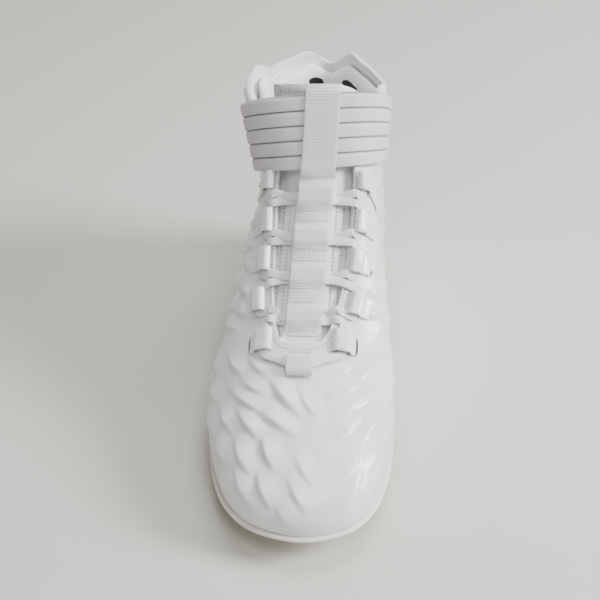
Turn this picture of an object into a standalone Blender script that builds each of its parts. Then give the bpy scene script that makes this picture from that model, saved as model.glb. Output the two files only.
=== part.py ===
"""A high-top american football cleat for the right foot, US men's size 12, standing on its studs.

Frame: metres, -Y toe, +Y heel, +X the inner side of the foot, -X its outer side, +Z up.
The tables hold lengths as shares: along as shares of LAST_LENGTH from the tip of the toe,
sideways as shares of BALL_WIDTH from the axis, heights as shares of ANKLE_HEIGHT above BASE.
"""

import math
from collections import namedtuple

import bmesh
import bpy
import numpy as np

# Driving dimensions
LAST_LENGTH = 0.3056
BALL_WIDTH = 0.105
ANKLE_HEIGHT = 0.150
STUD_HEIGHT = 0.012
PLATE_THICKNESS = 0.004
TOE_SPRING = 0.0045
CLEARANCE = 0.0003
UPPER_WALL = 0.0025
COLLAR_WALL = 0.0035
BOLSTER_THICKNESS = 0.008
TONGUE_THICKNESS = 0.004
INSOLE_THICKNESS = 0.004
INSOLE_MARGIN = 0.0015
LIP_REACH = 0.0026
STUD_BASE = 0.012
STUD_TIP = 0.0085
LACE_DIAMETER = 0.0036
LACE_SPREAD = 0.0016
LACE_MARGIN = 0.0004
LOOP_ACROSS = 0.0135
LOOP_ALONG = 0.0146
PROBE = 0.002
LOOP_THICKNESS = 0.0014
WEBBING_WIDTH = 0.020
WEBBING_THICKNESS = 0.0012
VAMP_LOOP_WIDTH = 0.0145
VAMP_LOOP_LENGTH = 0.0125
VAMP_LOOP_GAP = 0.0062
STRAP_WIDTH = 0.042
STRAP_THICKNESS = 0.0026
STRAP_RIBS = 5
STRAP_GROOVE = 0.0008

# Sizes that follow from them
BASE = STUD_HEIGHT + PLATE_THICKNESS
LOOP_RISE = LACE_DIAMETER + 1.5 * CLEARANCE
STITCHED_LIFT = 2 * CLEARANCE
CARRIED_LIFT = LACE_DIAMETER + 0.0011

Station = namedtuple(
    "Station",
    "name along outer inner lift edge_along edge_outer edge_inner edge_height "
    "bulge rise side back drop",
)

# One row for each section of the upper, from the toe to the heel. First its foot on the sole, with its
# lift as a share of TOE_SPRING, then the edge of the opening, then the two handles of its curve.
STATIONS = (
    Station("toe_tip", 0.000, 0.000, 0.000, 1.00, 0.308, 0.050, -0.050, 0.400, 0.038, 0.160, 0.000, -0.140, 0.160),
    Station("toe_round", 0.013, 0.190, 0.172, 0.97, 0.309, 0.110, 0.004, 0.400, 0.038, 0.160, 0.057, -0.134, 0.158),
    Station("toe_corner", 0.043, 0.328, 0.290, 0.85, 0.314, 0.162, 0.053, 0.403, 0.043, 0.167, 0.133, -0.120, 0.158),
    Station("toe_side", 0.098, 0.440, 0.372, 0.60, 0.333, 0.197, 0.098, 0.423, 0.052, 0.173, 0.210, -0.065, 0.153),
    Station("big_toe", 0.183, 0.522, 0.416, 0.25, 0.368, 0.220, 0.132, 0.461, 0.067, 0.180, 0.238, -0.045, 0.167),
    Station("ball", 0.284, 0.576, 0.424, 0.04, 0.408, 0.228, 0.163, 0.521, 0.076, 0.187, 0.248, -0.033, 0.170),
    Station("ball_back", 0.371, 0.555, 0.400, 0.00, 0.455, 0.224, 0.186, 0.612, 0.067, 0.200, 0.248, -0.015, 0.153),
    Station("waist_front", 0.470, 0.505, 0.352, 0.25, 0.501, 0.224, 0.205, 0.705, 0.048, 0.227, 0.238, 0.008, 0.129),
    Station("waist", 0.581, 0.443, 0.310, 0.40, 0.541, 0.226, 0.214, 0.795, 0.038, 0.267, 0.210, 0.010, 0.139),
    Station("waist_back", 0.706, 0.390, 0.310, 0.25, 0.582, 0.228, 0.227, 0.884, 0.029, 0.307, 0.180, 0.003, 0.173),
    Station("heel_front", 0.820, 0.362, 0.329, 0.00, 0.692, 0.362, 0.335, 0.867, 0.029, 0.320, 0.010, 0.026, 0.307),
    Station("heel_side", 0.918, 0.319, 0.300, 0.00, 0.853, 0.332, 0.295, 0.720, 0.038, 0.280, 0.000, 0.013, 0.240),
    Station("heel_round", 0.978, 0.195, 0.190, 0.00, 0.955, 0.190, 0.186, 0.680, 0.048, 0.267, 0.000, -0.007, 0.213),
    Station("heel_back", 1.000, 0.000, 0.000, 0.00, 0.980, 0.000, 0.000, 0.673, 0.057, 0.253, 0.000, -0.013, 0.213),
)
HEEL = len(STATIONS) - 1
RING = 2 * HEEL
OUTER, INNER = -1, 1

Rim = namedtuple("Rim", "station along outer inner outer_height inner_height")

# The rim of the collar, from its front edge to the heel, over the station given in its first column.
RIMS = (
    Rim(9.00, 0.666, 0.360, 0.314, 0.985, 1.005),
    Rim(9.35, 0.693, 0.415, 0.338, 1.075, 1.040),
    Rim(9.80, 0.721, 0.385, 0.355, 1.137, 1.050),
    Rim(10.30, 0.771, 0.350, 0.365, 1.090, 1.007),
    Rim(10.75, 0.817, 0.335, 0.360, 1.037, 0.970),
    Rim(11.20, 0.870, 0.315, 0.319, 1.007, 0.955),
    Rim(11.80, 0.928, 0.235, 0.225, 0.983, 0.960),
    Rim(12.40, 0.962, 0.138, 0.138, 0.980, 0.970),
    Rim(13.00, 0.985, 0.000, 0.000, 0.907, 0.907),
)

TongueRow = namedtuple("TongueRow", "along height centre half_width crown webbing")

# The tongue's outer face along its middle, from under the vamp to its top. Crown is how far its sides
# fall behind its middle, as a share of ANKLE_HEIGHT, and webbing is how far the webbing lies off its middle.
TONGUE_ROWS = (
    TongueRow(0.282, 0.308, -0.051, 0.143, 0.016, 0.000),
    TongueRow(0.310, 0.355, -0.050, 0.181, 0.023, 0.000),
    TongueRow(0.342, 0.412, -0.048, 0.219, 0.032, 0.000),
    TongueRow(0.401, 0.518, -0.034, 0.276, 0.059, 0.000),
    TongueRow(0.458, 0.636, -0.023, 0.290, 0.080, 0.002),
    TongueRow(0.508, 0.747, -0.012, 0.262, 0.100, 0.007),
    TongueRow(0.546, 0.860, -0.002, 0.240, 0.116, 0.015),
    TongueRow(0.572, 0.972, 0.003, 0.225, 0.118, 0.025),
    TongueRow(0.596, 1.081, 0.005, 0.228, 0.102, 0.034),
    TongueRow(0.615, 1.163, 0.005, 0.230, 0.085, 0.040),
)

LoopRow = namedtuple("LoopRow", "along length outer_gap inner_gap turned")

# The five pairs of lace loops. Length is a share of LOOP_ALONG, and the gaps to the opening's edge are
# shares of BALL_WIDTH. Turned is 1 where a loop lies along the opening's edge, 0 along the shoe.
LOOP_ROWS = (
    LoopRow(0.549, 0.72, 0.008, 0.008, 1.0),
    LoopRow(0.499, 1.00, 0.008, 0.008, 1.0),
    LoopRow(0.445, 1.00, 0.014, 0.008, 1.0),
    LoopRow(0.387, 1.00, 0.038, 0.048, 1.0),
    LoopRow(0.316, 0.98, 0.036, 0.050, 0.0),
)

# The four lace crossings: where each passes under the webbing, and where it reaches the opening's edge.
CROSSING_ROWS = (0.5217, 0.4703, 0.4179, 0.3596)
CROSSING_EDGES = (0.5275, 0.4752, 0.4178, 0.3606)

Stud = namedtuple("Stud", "along across")

STUDS = (
    Stud(0.096, -0.03),
    Stud(0.165, -0.40),
    Stud(0.165, 0.30),
    Stud(0.239, -0.05),
    Stud(0.284, -0.47),
    Stud(0.274, 0.32),
    Stud(0.402, -0.43),
    Stud(0.392, 0.29),
    Stud(0.792, -0.24),
    Stud(0.792, 0.20),
    Stud(0.926, -0.18),
    Stud(0.926, 0.17),
)

# The ankle strap: an oval seen from above, square-cornered, tilted down to the heel.
STRAP_CENTRE = (-0.027 * BALL_WIDTH, 0.738 * LAST_LENGTH)
STRAP_HALF_WIDTH = 0.419 * BALL_WIDTH
STRAP_FRONT = 0.171 * LAST_LENGTH
STRAP_BACK = 0.247 * LAST_LENGTH
STRAP_SQUARENESS = 2.9
STRAP_FRONT_HEIGHT = BASE + 1.005 * ANKLE_HEIGHT
STRAP_TILT = 0.556
STRAP_ROLL = 0.045
STRAP_END_ANGLE = math.radians(36)
STRAP_DRIFT = 0.027 * BALL_WIDTH
STRAP_SEAT = 0.021

# Behind the ankle the strap's upper part leans in to the shoe: by how much at its ends, and from what angle.
OUTER_LEAN = (0.0120, math.radians(62))
INNER_LEAN = (0.0046, math.radians(92))


def blend(a, b, c, d, f):
    """A smooth curve through b and c, with a before it and d after it."""
    return 0.5 * (2 * b + (c - a) * f + (2 * a - 5 * b + 4 * c - d) * f**2 + (3 * b - a - 3 * c + d) * f**3)


def along_ring(points, u):
    """The point at place u on the smooth closed curve through the points."""
    i = math.floor(u)
    count = len(points)
    near = [points[(i + step) % count] for step in (-1, 0, 1, 2)]
    return blend(*near, u - i)


def along_rows(rows, u):
    """The point at place u on the smooth open curve through the rows."""
    last = len(rows) - 1
    i = min(max(math.floor(u), 0), last - 1)
    before = rows[i - 1] if i > 0 else 2 * rows[0] - rows[1]
    after = rows[i + 2] if i + 2 <= last else 2 * rows[last] - rows[last - 1]
    return blend(before, rows[i], rows[i + 1], after, u - i)


def unit(vector):
    return vector / np.linalg.norm(vector)


def smooth_step(f):
    f = min(max(f, 0.0), 1.0)
    return f * f * (3 - 2 * f)


def height(share):
    return BASE + share * ANKLE_HEIGHT


def station_feet():
    """The ring of points where the upper meets the sole, outer side first."""
    feet = [(-s.outer * BALL_WIDTH, s.along * LAST_LENGTH, BASE + s.lift * TOE_SPRING) for s in STATIONS]
    inner = [(s.inner * BALL_WIDTH, s.along * LAST_LENGTH, BASE + s.lift * TOE_SPRING) for s in STATIONS]
    return np.array(feet + inner[-2:0:-1])


FEET = station_feet()


def outward(u):
    """The horizontal direction away from the foot, at place u on the sole's outline."""
    step = 0.01
    along = along_ring(FEET, u + step) - along_ring(FEET, u - step)
    return unit(np.array((-along[1], along[0], 0.0)))


def outline(u, reach, rise):
    """A point of the sole's outline, moved out by reach and up by rise."""
    return along_ring(FEET, u) + outward(u) * reach + np.array((0.0, 0.0, rise))


def upper_controls():
    """Four control points for each station: foot, lower handle, upper handle and edge."""
    controls = []
    for place in range(RING):
        side = OUTER if place <= HEEL else INNER
        s = STATIONS[place if place <= HEEL else RING - place]
        foot = FEET[place]
        sideways = -s.edge_outer if side == OUTER else s.edge_inner
        edge = np.array((sideways * BALL_WIDTH, s.edge_along * LAST_LENGTH, height(s.edge_height)))
        low = foot + outward(place) * s.bulge * BALL_WIDTH + np.array((0, 0, s.rise * ANKLE_HEIGHT))
        lean = (side * s.side * BALL_WIDTH, s.back * LAST_LENGTH, -s.drop * ANKLE_HEIGHT)
        controls.append((foot, low, edge + np.array(lean), edge))
    return np.array(controls)


UPPER = upper_controls()


def upper_point(u, v):
    """The upper's outer face: u runs round the ring of stations, v from the sole to the opening."""
    foot, low, high, edge = along_ring(UPPER, u)
    w = 1 - v
    return foot * w**3 + low * 3 * w * w * v + high * 3 * w * v * v + edge * v**3


def upper_normal(u, v):
    step = 1e-3
    round_it = upper_point(u + step, v) - upper_point(u - step, v)
    up_it = upper_point(u, v + step) - upper_point(u, v - step)
    return unit(np.cross(up_it, round_it))


def over_upper(x, y, lift):
    """The point that lies lift above the upper's outer face, over the place x, y of it."""
    u = 3.0 if x < STATIONS[0].edge_inner * BALL_WIDTH else RING - 3.0
    place = np.array((u, 0.92))
    step = 1e-4
    for _ in range(20):
        here = upper_point(*place)
        round_it = upper_point(place[0] + step, place[1]) - here
        up_it = upper_point(place[0], place[1] + step) - here
        slopes = np.array((round_it[:2], up_it[:2])).T / step
        move = np.linalg.solve(slopes, np.array((x, y)) - here[:2])
        place = place + np.clip(move, (-1.0, -0.1), (1.0, 0.1))
    return upper_point(*place) + upper_normal(*place) * lift


def throat_edge(y, side):
    """The point of the opening's edge that lies at y, on one side of the throat."""
    low, high = 1.0, 9.0
    for _ in range(30):
        middle = (low + high) / 2
        place = middle if side == OUTER else RING - middle
        if upper_point(place, 1.0)[1] < y:
            low = middle
        else:
            high = middle
    return upper_point(place, 1.0)


def throat_slope(y, side):
    """The direction of the opening's edge at y, up towards the heel."""
    return unit(throat_edge(y + PROBE, side) - throat_edge(y - PROBE, side))


def square_to(slope, y, side):
    """The direction over the upper away from the opening's edge at y, square to the slope."""
    edge = throat_edge(y, side)
    below = over_upper(edge[0] + side * PROBE, edge[1], 0.0) - edge
    return unit(below - slope * below.dot(slope))


def tongue_rows():
    rows = [
        (
            r.centre * BALL_WIDTH,
            r.along * LAST_LENGTH,
            height(r.height),
            r.half_width * BALL_WIDTH,
            r.crown * ANKLE_HEIGHT,
            r.webbing * BALL_WIDTH,
        )
        for r in TONGUE_ROWS
    ]
    return np.array(rows)


TONGUE = tongue_rows()


def tongue_place(y):
    """How far along the tongue's rows its middle reaches y."""
    low, high = 0.0, len(TONGUE) - 1.0
    for _ in range(30):
        middle = (low + high) / 2
        if along_rows(TONGUE, middle)[1] < y:
            low = middle
        else:
            high = middle
    return (low + high) / 2


def over_tongue(place, x, lift):
    """The point lift above the tongue's outer face, x to the side of its middle at this place."""
    centre, y, z, half_width, crown, _ = along_rows(TONGUE, place)
    step = 1e-3
    ahead, behind = along_rows(TONGUE, place + step), along_rows(TONGUE, place - step)
    slope = unit(np.array((0.0, ahead[1] - behind[1], ahead[2] - behind[2])))
    out = np.array((0.0, -slope[2], slope[1]))
    fall = crown * (x / half_width) ** 2
    lean = 2 * crown * x / half_width**2
    normal = unit(out + np.array((lean, 0.0, 0.0)))
    return np.array((centre + x, y, z)) - out * fall + normal * lift


def material(name, colour, roughness):
    made = bpy.data.materials.new(name)
    made.use_nodes = True
    shader = made.node_tree.nodes["Principled BSDF"]
    shader.inputs["Base Color"].default_value = (*colour, 1.0)
    shader.inputs["Roughness"].default_value = roughness
    shader.inputs["Metallic"].default_value = 0.0
    return made


def add_object(name, mesh, finish, collection):
    made = bpy.data.objects.new(name, mesh)
    made.data.materials.append(finish)
    collection.objects.link(made)
    made.parent = collection_empty
    return made


def finished(name, work, finish, collection=None):
    """Turns a bmesh into a smooth-shaded object."""
    mesh = bpy.data.meshes.new(name)
    work.to_mesh(mesh)
    work.free()
    mesh.shade_smooth()
    mesh.set_sharp_from_angle(angle=math.radians(40))
    return add_object(name, mesh, finish, collection or shoe)


def sheet(name, place, across, along, thickness, offset, finish, even=True):
    """An open surface of across by along faces, placed by place(a, b) with a and b from 0 to 1."""
    work = bmesh.new()
    bmesh.ops.create_grid(work, x_segments=across, y_segments=along, size=1.0)
    for vert in work.verts:
        vert.co = place((vert.co.x + 1) / 2, (vert.co.y + 1) / 2)
    bmesh.ops.remove_doubles(work, verts=work.verts, dist=1e-6)
    made = finished(name, work, finish)
    wall = made.modifiers.new("wall", "SOLIDIFY")
    wall.thickness = thickness
    wall.offset = offset
    wall.use_even_offset = even
    return made


def loft(name, rings, finish, strip_caps=False):
    """A closed solid through rings of equal count, capped by one face or by strips across."""
    work = bmesh.new()
    rows = [[work.verts.new(point) for point in ring] for ring in rings]
    count = len(rings[0])
    for low, high in zip(rows, rows[1:]):
        for i in range(count):
            work.faces.new((low[i], low[(i + 1) % count], high[(i + 1) % count], high[i]))
    for row in (rows[0], rows[-1]):
        if not strip_caps:
            work.faces.new(row)
            continue
        work.faces.new((row[0], row[1], row[-1]))
        for i in range(1, count // 2 - 1):
            work.faces.new((row[i], row[i + 1], row[-i - 1], row[-i]))
        middle = count // 2
        work.faces.new((row[middle - 1], row[middle], row[middle + 1]))
    bmesh.ops.recalc_face_normals(work, faces=work.faces)
    return finished(name, work, finish)


def tube(name, points, diameter, finish):
    """A round cord through the points, with filled ends."""
    curve = bpy.data.curves.new(name, "CURVE")
    curve.dimensions = "3D"
    curve.bevel_depth = diameter / 2
    curve.bevel_resolution = 2
    curve.use_fill_caps = True
    spline = curve.splines.new("POLY")
    spline.points.add(len(points) - 1)
    for target, point in zip(spline.points, points):
        target.co = (*point, 1.0)
    curve.materials.append(finish)
    made = bpy.data.objects.new(name, curve)
    shoe.objects.link(made)
    made.parent = collection_empty
    return made


def as_mesh(made, collection):
    """The curve object made a mesh object with its caps welded."""
    name, finish = made.name, made.data.materials[0]
    bpy.context.view_layer.update()
    graph = bpy.context.evaluated_depsgraph_get()
    mesh = bpy.data.meshes.new_from_object(made.evaluated_get(graph))
    bpy.data.objects.remove(made)
    work = bmesh.new()
    work.from_mesh(mesh)
    bmesh.ops.remove_doubles(work, verts=work.verts, dist=1e-6)
    bmesh.ops.recalc_face_normals(work, faces=work.faces)
    return finished(name, work, finish, collection)


def join_with(made, other):
    """Joins the other shape to this one, and leaves the other as a hidden helper."""
    other.hide_render = True
    other.display_type = "WIRE"
    union = made.modifiers.new("join", "BOOLEAN")
    union.operation = "UNION"
    union.solver = "EXACT"
    union.object = other


def lift_at(y):
    """How far the sole rises at y, read between the stations."""
    rows = [s.along * LAST_LENGTH for s in STATIONS]
    return float(np.interp(y, rows, [s.lift * TOE_SPRING for s in STATIONS]))


def build_outsole():
    """A thin moulded plate with a lip that shows round the upper, and twelve studs."""
    levels = (
        (-0.0045, 0.0),
        (-0.0008, 0.0006),
        (LIP_REACH - 0.0008, 0.0016),
        (LIP_REACH, 0.0022),
        (LIP_REACH, 0.0036),
        (LIP_REACH - 0.0008, PLATE_THICKNESS - CLEARANCE),
    )
    places = [RING * i / 64 for i in range(64)]
    rings = [[outline(u, reach, rise - PLATE_THICKNESS) for u in places] for reach, rise in levels]
    plate = loft("outsole", rings, plate_finish, strip_caps=True)
    work = bmesh.new()
    for stud in STUDS:
        y = stud.along * LAST_LENGTH
        top = STUD_HEIGHT + lift_at(y) + PLATE_THICKNESS / 2
        made = bmesh.ops.create_cone(
            work, cap_ends=True, segments=14, radius1=STUD_TIP / 2, radius2=STUD_BASE / 2, depth=top
        )
        bmesh.ops.translate(work, verts=made["verts"], vec=(stud.across * BALL_WIDTH, y, top / 2))
    join_with(plate, finished("stud_shapes", work, plate_finish, helpers))


def build_insole():
    """The foam sheet that closes the inside, just clear of the upper's wall."""
    reach = -(UPPER_WALL + INSOLE_MARGIN)
    places = [RING * i / 52 for i in range(52)]
    levels = (CLEARANCE, INSOLE_THICKNESS)
    rings = [[outline(u, reach, rise) for u in places] for rise in levels]
    loft("insole", rings, lining_finish, strip_caps=True)


def build_upper():
    """One hollow moulded shell, open at the sole, the throat and the collar."""
    sheet(
        "upper",
        lambda a, b: upper_point(RING * (1 - a), b),
        78,
        9,
        UPPER_WALL,
        -1.0,
        upper_finish,
    )


def rim_points():
    outer = [(-r.outer * BALL_WIDTH, r.along * LAST_LENGTH, height(r.outer_height), r.station) for r in RIMS]
    inner = [(r.inner * BALL_WIDTH, r.along * LAST_LENGTH, height(r.inner_height), RING - r.station) for r in RIMS]
    return np.array(outer + inner[-2::-1])


RIM_LINE = rim_points()
COLLAR_ENDS = len(RIM_LINE) - 1
COLLAR_SWELL = 0.0015


def collar_point(place, rise):
    """The collar's outer face: place runs from its outer front edge round the heel to its inner one."""
    *rim, station = along_rows(RIM_LINE, place)
    edge = upper_point(station, 1.0)
    if rise < 0:
        return upper_point(station, 1.0 + rise * 0.35)
    swell = outward(station) * COLLAR_SWELL * 4 * rise * (1 - rise)
    return edge + (np.array(rim) - edge) * rise + swell


def collar_normal(place, rise):
    step = 1e-3
    round_it = collar_point(place + step, rise) - collar_point(place - step, rise)
    up_it = collar_point(place, rise + step) - collar_point(place, rise - step)
    return unit(np.cross(up_it, round_it))


def build_collar():
    """The soft cuff above the upper: high in front, two low ears and a notch at the heel."""
    foot = CLEARANCE / (0.1 * ANKLE_HEIGHT)
    sheet(
        "collar",
        lambda a, b: collar_point(COLLAR_ENDS * (1 - a), foot + (1 - foot) * b),
        40,
        5,
        COLLAR_WALL,
        -1.0,
        collar_finish,
        even=False,
    )


def build_bolster():
    """The padded roll that lines the collar, as one closed ring with rounded ends."""
    section = (
        (-0.42, 0.10),
        (0.00, 0.00),
        (0.42, 0.00),
        (0.74, 0.04),
        (0.80, 0.40),
        (0.66, 0.80),
        (0.30, 1.00),
        (-0.10, 0.85),
        (-0.36, 0.50),
    )
    start, stop = 1.35, COLLAR_ENDS - 1.35
    depth = COLLAR_WALL + 2 * CLEARANCE
    count = 30
    rings = []
    for i in range(count + 1):
        place = start + (stop - start) * i / count
        end_round = min(1.0, 0.35 + 0.65 * math.sin(min(i, count - i, 3) / 3 * math.pi / 2))
        ring = []
        for rise, share in section:
            inwards = depth + share * BOLSTER_THICKNESS * end_round
            ring.append(collar_point(place, rise) - collar_normal(place, rise) * inwards)
        rings.append(ring)
    loft("collar_bolster", rings, lining_finish)


def build_tongue():
    """The padded tongue, tucked under both sides of the throat."""

    def place(a, b):
        row = b * (len(TONGUE) - 1)
        half_width = along_rows(TONGUE, row)[3]
        return over_tongue(row, (2 * a - 1) * half_width, 0.0)

    sheet("tongue", place, 8, 18, TONGUE_THICKNESS, -1.0, lining_finish)


def webbing_carried(y):
    """From 0 where the webbing is stitched down to 1 where a lace or the strap carries it."""
    flat, slope = 0.0036, 0.0031
    carried = 0.0
    for row in CROSSING_ROWS:
        off = abs(y - row * LAST_LENGTH) - flat
        carried = max(carried, 1 - smooth_step(off / slope))
    strap_start, strap_stop = 0.549 * LAST_LENGTH, 0.607 * LAST_LENGTH + 0.4 * (STRAP_WIDTH - 2 * STRAP_SEAT)
    off = max(strap_start - y, y - strap_stop)
    return max(carried, 1 - smooth_step(off / slope))


def build_tongue_spine():
    """The ribbed webbing down the middle of the tongue, over the laces and the strap."""
    start, stop = 0.330 * LAST_LENGTH, TONGUE_ROWS[-1].along * LAST_LENGTH

    def place(a, b):
        y = start + (stop - start) * b
        row = tongue_place(y)
        x = along_rows(TONGUE, row)[5] + (2 * a - 1) * WEBBING_WIDTH / 2
        carried = webbing_carried(y)
        lift = STITCHED_LIFT + (CARRIED_LIFT - STITCHED_LIFT) * carried
        curved = over_tongue(row, x, lift)
        level = over_tongue(row, 0.0, lift) + np.array((x, 0.0, 0.0))
        return curved + (level - curved) * carried

    sheet("tongue_spine", place, 2, 46, WEBBING_THICKNESS, 1.0, webbing_finish)


def strap_point(angle, rise, lift):
    """A point of the strap: angle from its front, rise from -0.5 to 0.5 across it, lift off its inner face."""
    power = 2 / STRAP_SQUARENESS
    side, front = math.sin(angle), math.cos(angle)
    reach = STRAP_FRONT if front > 0 else STRAP_BACK
    bulge_x = math.copysign(abs(side) ** power, side)
    bulge_y = math.copysign(abs(front) ** power, front)
    widening = 1 + 0.13 * rise
    half_width = STRAP_HALF_WIDTH * widening - STRAP_THICKNESS + lift
    x = STRAP_CENTRE[0] - STRAP_DRIFT * rise + half_width * bulge_x
    lean = 0.42 if front > 0 else 0.26
    lean = 0.26 + (lean - 0.26) * abs(bulge_y)
    up = (rise + 0.5) * STRAP_WIDTH - STRAP_SEAT
    y = STRAP_CENTRE[1] - (reach - STRAP_THICKNESS + lift) * bulge_y + up * lean
    front_y = STRAP_CENTRE[1] - STRAP_FRONT
    middle_y = STRAP_CENTRE[1] - reach * bulge_y
    z = STRAP_FRONT_HEIGHT - STRAP_TILT * (middle_y - front_y) + up * 0.92 + x * STRAP_ROLL
    most, start = OUTER_LEAN if angle < 0 else INNER_LEAN
    end = math.pi / 2 + STRAP_END_ANGLE
    inwards = most * smooth_step((abs(angle) - start) / (end - start)) * (rise + 0.5)
    return np.array((x - math.copysign(inwards, angle), y, z))


def build_strap():
    """The ankle strap: one wide elastic band with raised ribs, over the tongue and round to the heel."""
    section = [(-0.5, 0.0), (0.5, 0.0)]
    for rib in reversed(range(STRAP_RIBS)):
        low = -0.5 + rib / STRAP_RIBS
        high = low + 1 / STRAP_RIBS
        margin = 0.10 / STRAP_RIBS
        section += [(high - margin, STRAP_THICKNESS), (low + margin, STRAP_THICKNESS)]
        if rib:
            section.append((low, STRAP_THICKNESS - STRAP_GROOVE))
    end = math.pi / 2 + STRAP_END_ANGLE
    count = 28
    rings = []
    for i in range(count + 1):
        angle = -end + 2 * end * i / count
        rings.append([strap_point(angle, rise, lift) for rise, lift in section])
    loft("ankle_strap", rings, strap_finish)


def arch(share):
    """The height of a lace loop over its two feet, as a share."""
    return 1 - abs(2 * share - 1) ** 3


def build_lace_loops():
    """Five folded bands on each side of the throat, arched over the lace."""
    for side, label in ((OUTER, "outer"), (INNER, "inner")):
        for number, row in enumerate(LOOP_ROWS, start=1):
            y = row.along * LAST_LENGTH
            gap = (row.outer_gap if side == OUTER else row.inner_gap) * BALL_WIDTH
            edge = throat_edge(y, side)
            beside = edge[0] + side * gap
            ahead = unit(over_upper(beside, y + PROBE, 0.0) - over_upper(beside, y, 0.0))
            slope = unit(ahead + (throat_slope(y, side) - ahead) * row.turned)
            aside = square_to(slope, y, side)
            length = LOOP_ALONG * row.length

            def place(a, b, edge=edge, slope=slope, aside=aside, side=side, length=length, gap=gap):
                here = edge + slope * (0.5 - a) * length * side + aside * (gap + b * LOOP_ACROSS)
                return over_upper(here[0], here[1], CLEARANCE + LOOP_RISE * arch(b))

            sheet(f"lace_loop_{label}_{number}", place, 3, 7, LOOP_THICKNESS, 1.0, upper_finish)


def build_vamp_loop():
    """A loop of webbing at the foot of the throat that holds the lowest bar of the lace."""
    start = STATIONS[0].edge_along * LAST_LENGTH - VAMP_LOOP_GAP
    centre = STATIONS[0].edge_inner * BALL_WIDTH

    def place(a, b):
        x = centre + (2 * a - 1) * VAMP_LOOP_WIDTH / 2
        y = start - b * VAMP_LOOP_LENGTH
        return over_upper(x, y, CLEARANCE + LOOP_RISE * arch(b))

    sheet("vamp_loop", place, 3, 7, WEBBING_THICKNESS, -1.0, webbing_finish)


def crossing_arm(middle_row, edge_row, direction):
    """The route of one lace from loop to loop, under the webbing."""
    rest = LACE_DIAMETER / 2 + CLEARANCE + LACE_MARGIN
    keys = []
    for side in (OUTER, INNER):
        edge = throat_edge(edge_row * LAST_LENGTH, side)
        slope = throat_slope(edge_row * LAST_LENGTH, side)
        shift = slope[1] * LACE_SPREAD * direction * side
        ends = [
            over_upper(edge[0] + side * reach, edge[1] + shift, rest + lift)
            for reach, lift in ((0.0034, 0.0), (0.0002, CLEARANCE))
        ]
        row = tongue_place(middle_row * LAST_LENGTH + shift * 0.8)
        ends.append(over_tongue(row, side * WEBBING_WIDTH * 0.45, rest))
        keys += ends if side == OUTER else ends[::-1]
    keys.insert(3, over_tongue(tongue_place(middle_row * LAST_LENGTH), 0.0, rest))
    return [along_rows(np.array(keys), i / 2) for i in range(13)]


def build_laces():
    """Four crossings under the webbing, and the bar at the foot of the throat."""
    rest = LACE_DIAMETER / 2 + CLEARANCE
    for number, (middle_row, edge_row) in enumerate(zip(CROSSING_ROWS, CROSSING_EDGES), start=1):
        arms = [
            tube(f"lace_crossing_{number}", crossing_arm(middle_row, edge_row, way), LACE_DIAMETER, lace_finish)
            for way in (1, -1)
        ]
        other = as_mesh(arms[1], helpers)
        other.name = f"lace_crossing_shape_{number}"
        first = as_mesh(arms[0], shoe)
        first.name = f"lace_crossing_{number}"
        join_with(first, other)
    start = STATIONS[0].edge_along * LAST_LENGTH - VAMP_LOOP_GAP - VAMP_LOOP_LENGTH / 2
    centre = STATIONS[0].edge_inner * BALL_WIDTH
    bar = [(-0.0185, 0.0062), (-0.0145, 0.0040), (-0.010, 0.0017), (-0.005, 0.0002), (0.0, 0.0)]
    bar += [(-x, y) for x, y in reversed(bar[:-1])]
    points = [over_upper(centre + x, start + y, rest + 0.0002) for x, y in bar]
    tube("lace_toe_bar", points, LACE_DIAMETER, lace_finish)


def stand_on_origin():
    """Moves the shoe so that the origin is under the middle of its whole box."""
    bpy.context.view_layer.update()
    graph = bpy.context.evaluated_depsgraph_get()
    corners = []
    for made in shoe.objects:
        evaluated = made.evaluated_get(graph)
        mesh = evaluated.to_mesh()
        corners += [evaluated.matrix_world @ vert.co for vert in mesh.vertices]
        evaluated.to_mesh_clear()
    low, high = np.min(corners, axis=0), np.max(corners, axis=0)
    collection_empty.location = (-(low[0] + high[0]) / 2, -(low[1] + high[1]) / 2, -low[2])


for thing in list(bpy.data.objects):
    bpy.data.objects.remove(thing)
shoe = bpy.data.collections.new("football_cleat")
helpers = bpy.data.collections.new("joining_shapes")
bpy.context.scene.collection.children.link(shoe)
bpy.context.scene.collection.children.link(helpers)
collection_empty = bpy.data.objects.new("shoe_frame", None)
bpy.context.scene.collection.objects.link(collection_empty)

upper_finish = material("moulded_upper", (0.83, 0.83, 0.84), 0.28)
plate_finish = material("moulded_plate", (0.86, 0.85, 0.80), 0.30)
collar_finish = material("knit_collar", (0.80, 0.80, 0.81), 0.85)
lining_finish = material("lining", (0.78, 0.78, 0.79), 0.90)
strap_finish = material("elastic_strap", (0.78, 0.77, 0.80), 0.75)
webbing_finish = material("webbing", (0.76, 0.76, 0.80), 0.80)
lace_finish = material("lace", (0.84, 0.84, 0.85), 0.85)

build_outsole()
build_insole()
build_upper()
build_collar()
build_bolster()
build_tongue()
build_tongue_spine()
build_strap()
build_lace_loops()
build_vamp_loop()
build_laces()
stand_on_origin()
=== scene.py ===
"""The looks of a high-top american football cleat, a right shoe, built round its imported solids."""

import math

import bmesh
import bpy
import numpy as np
from mathutils import Matrix, Quaternion, Vector


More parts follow.
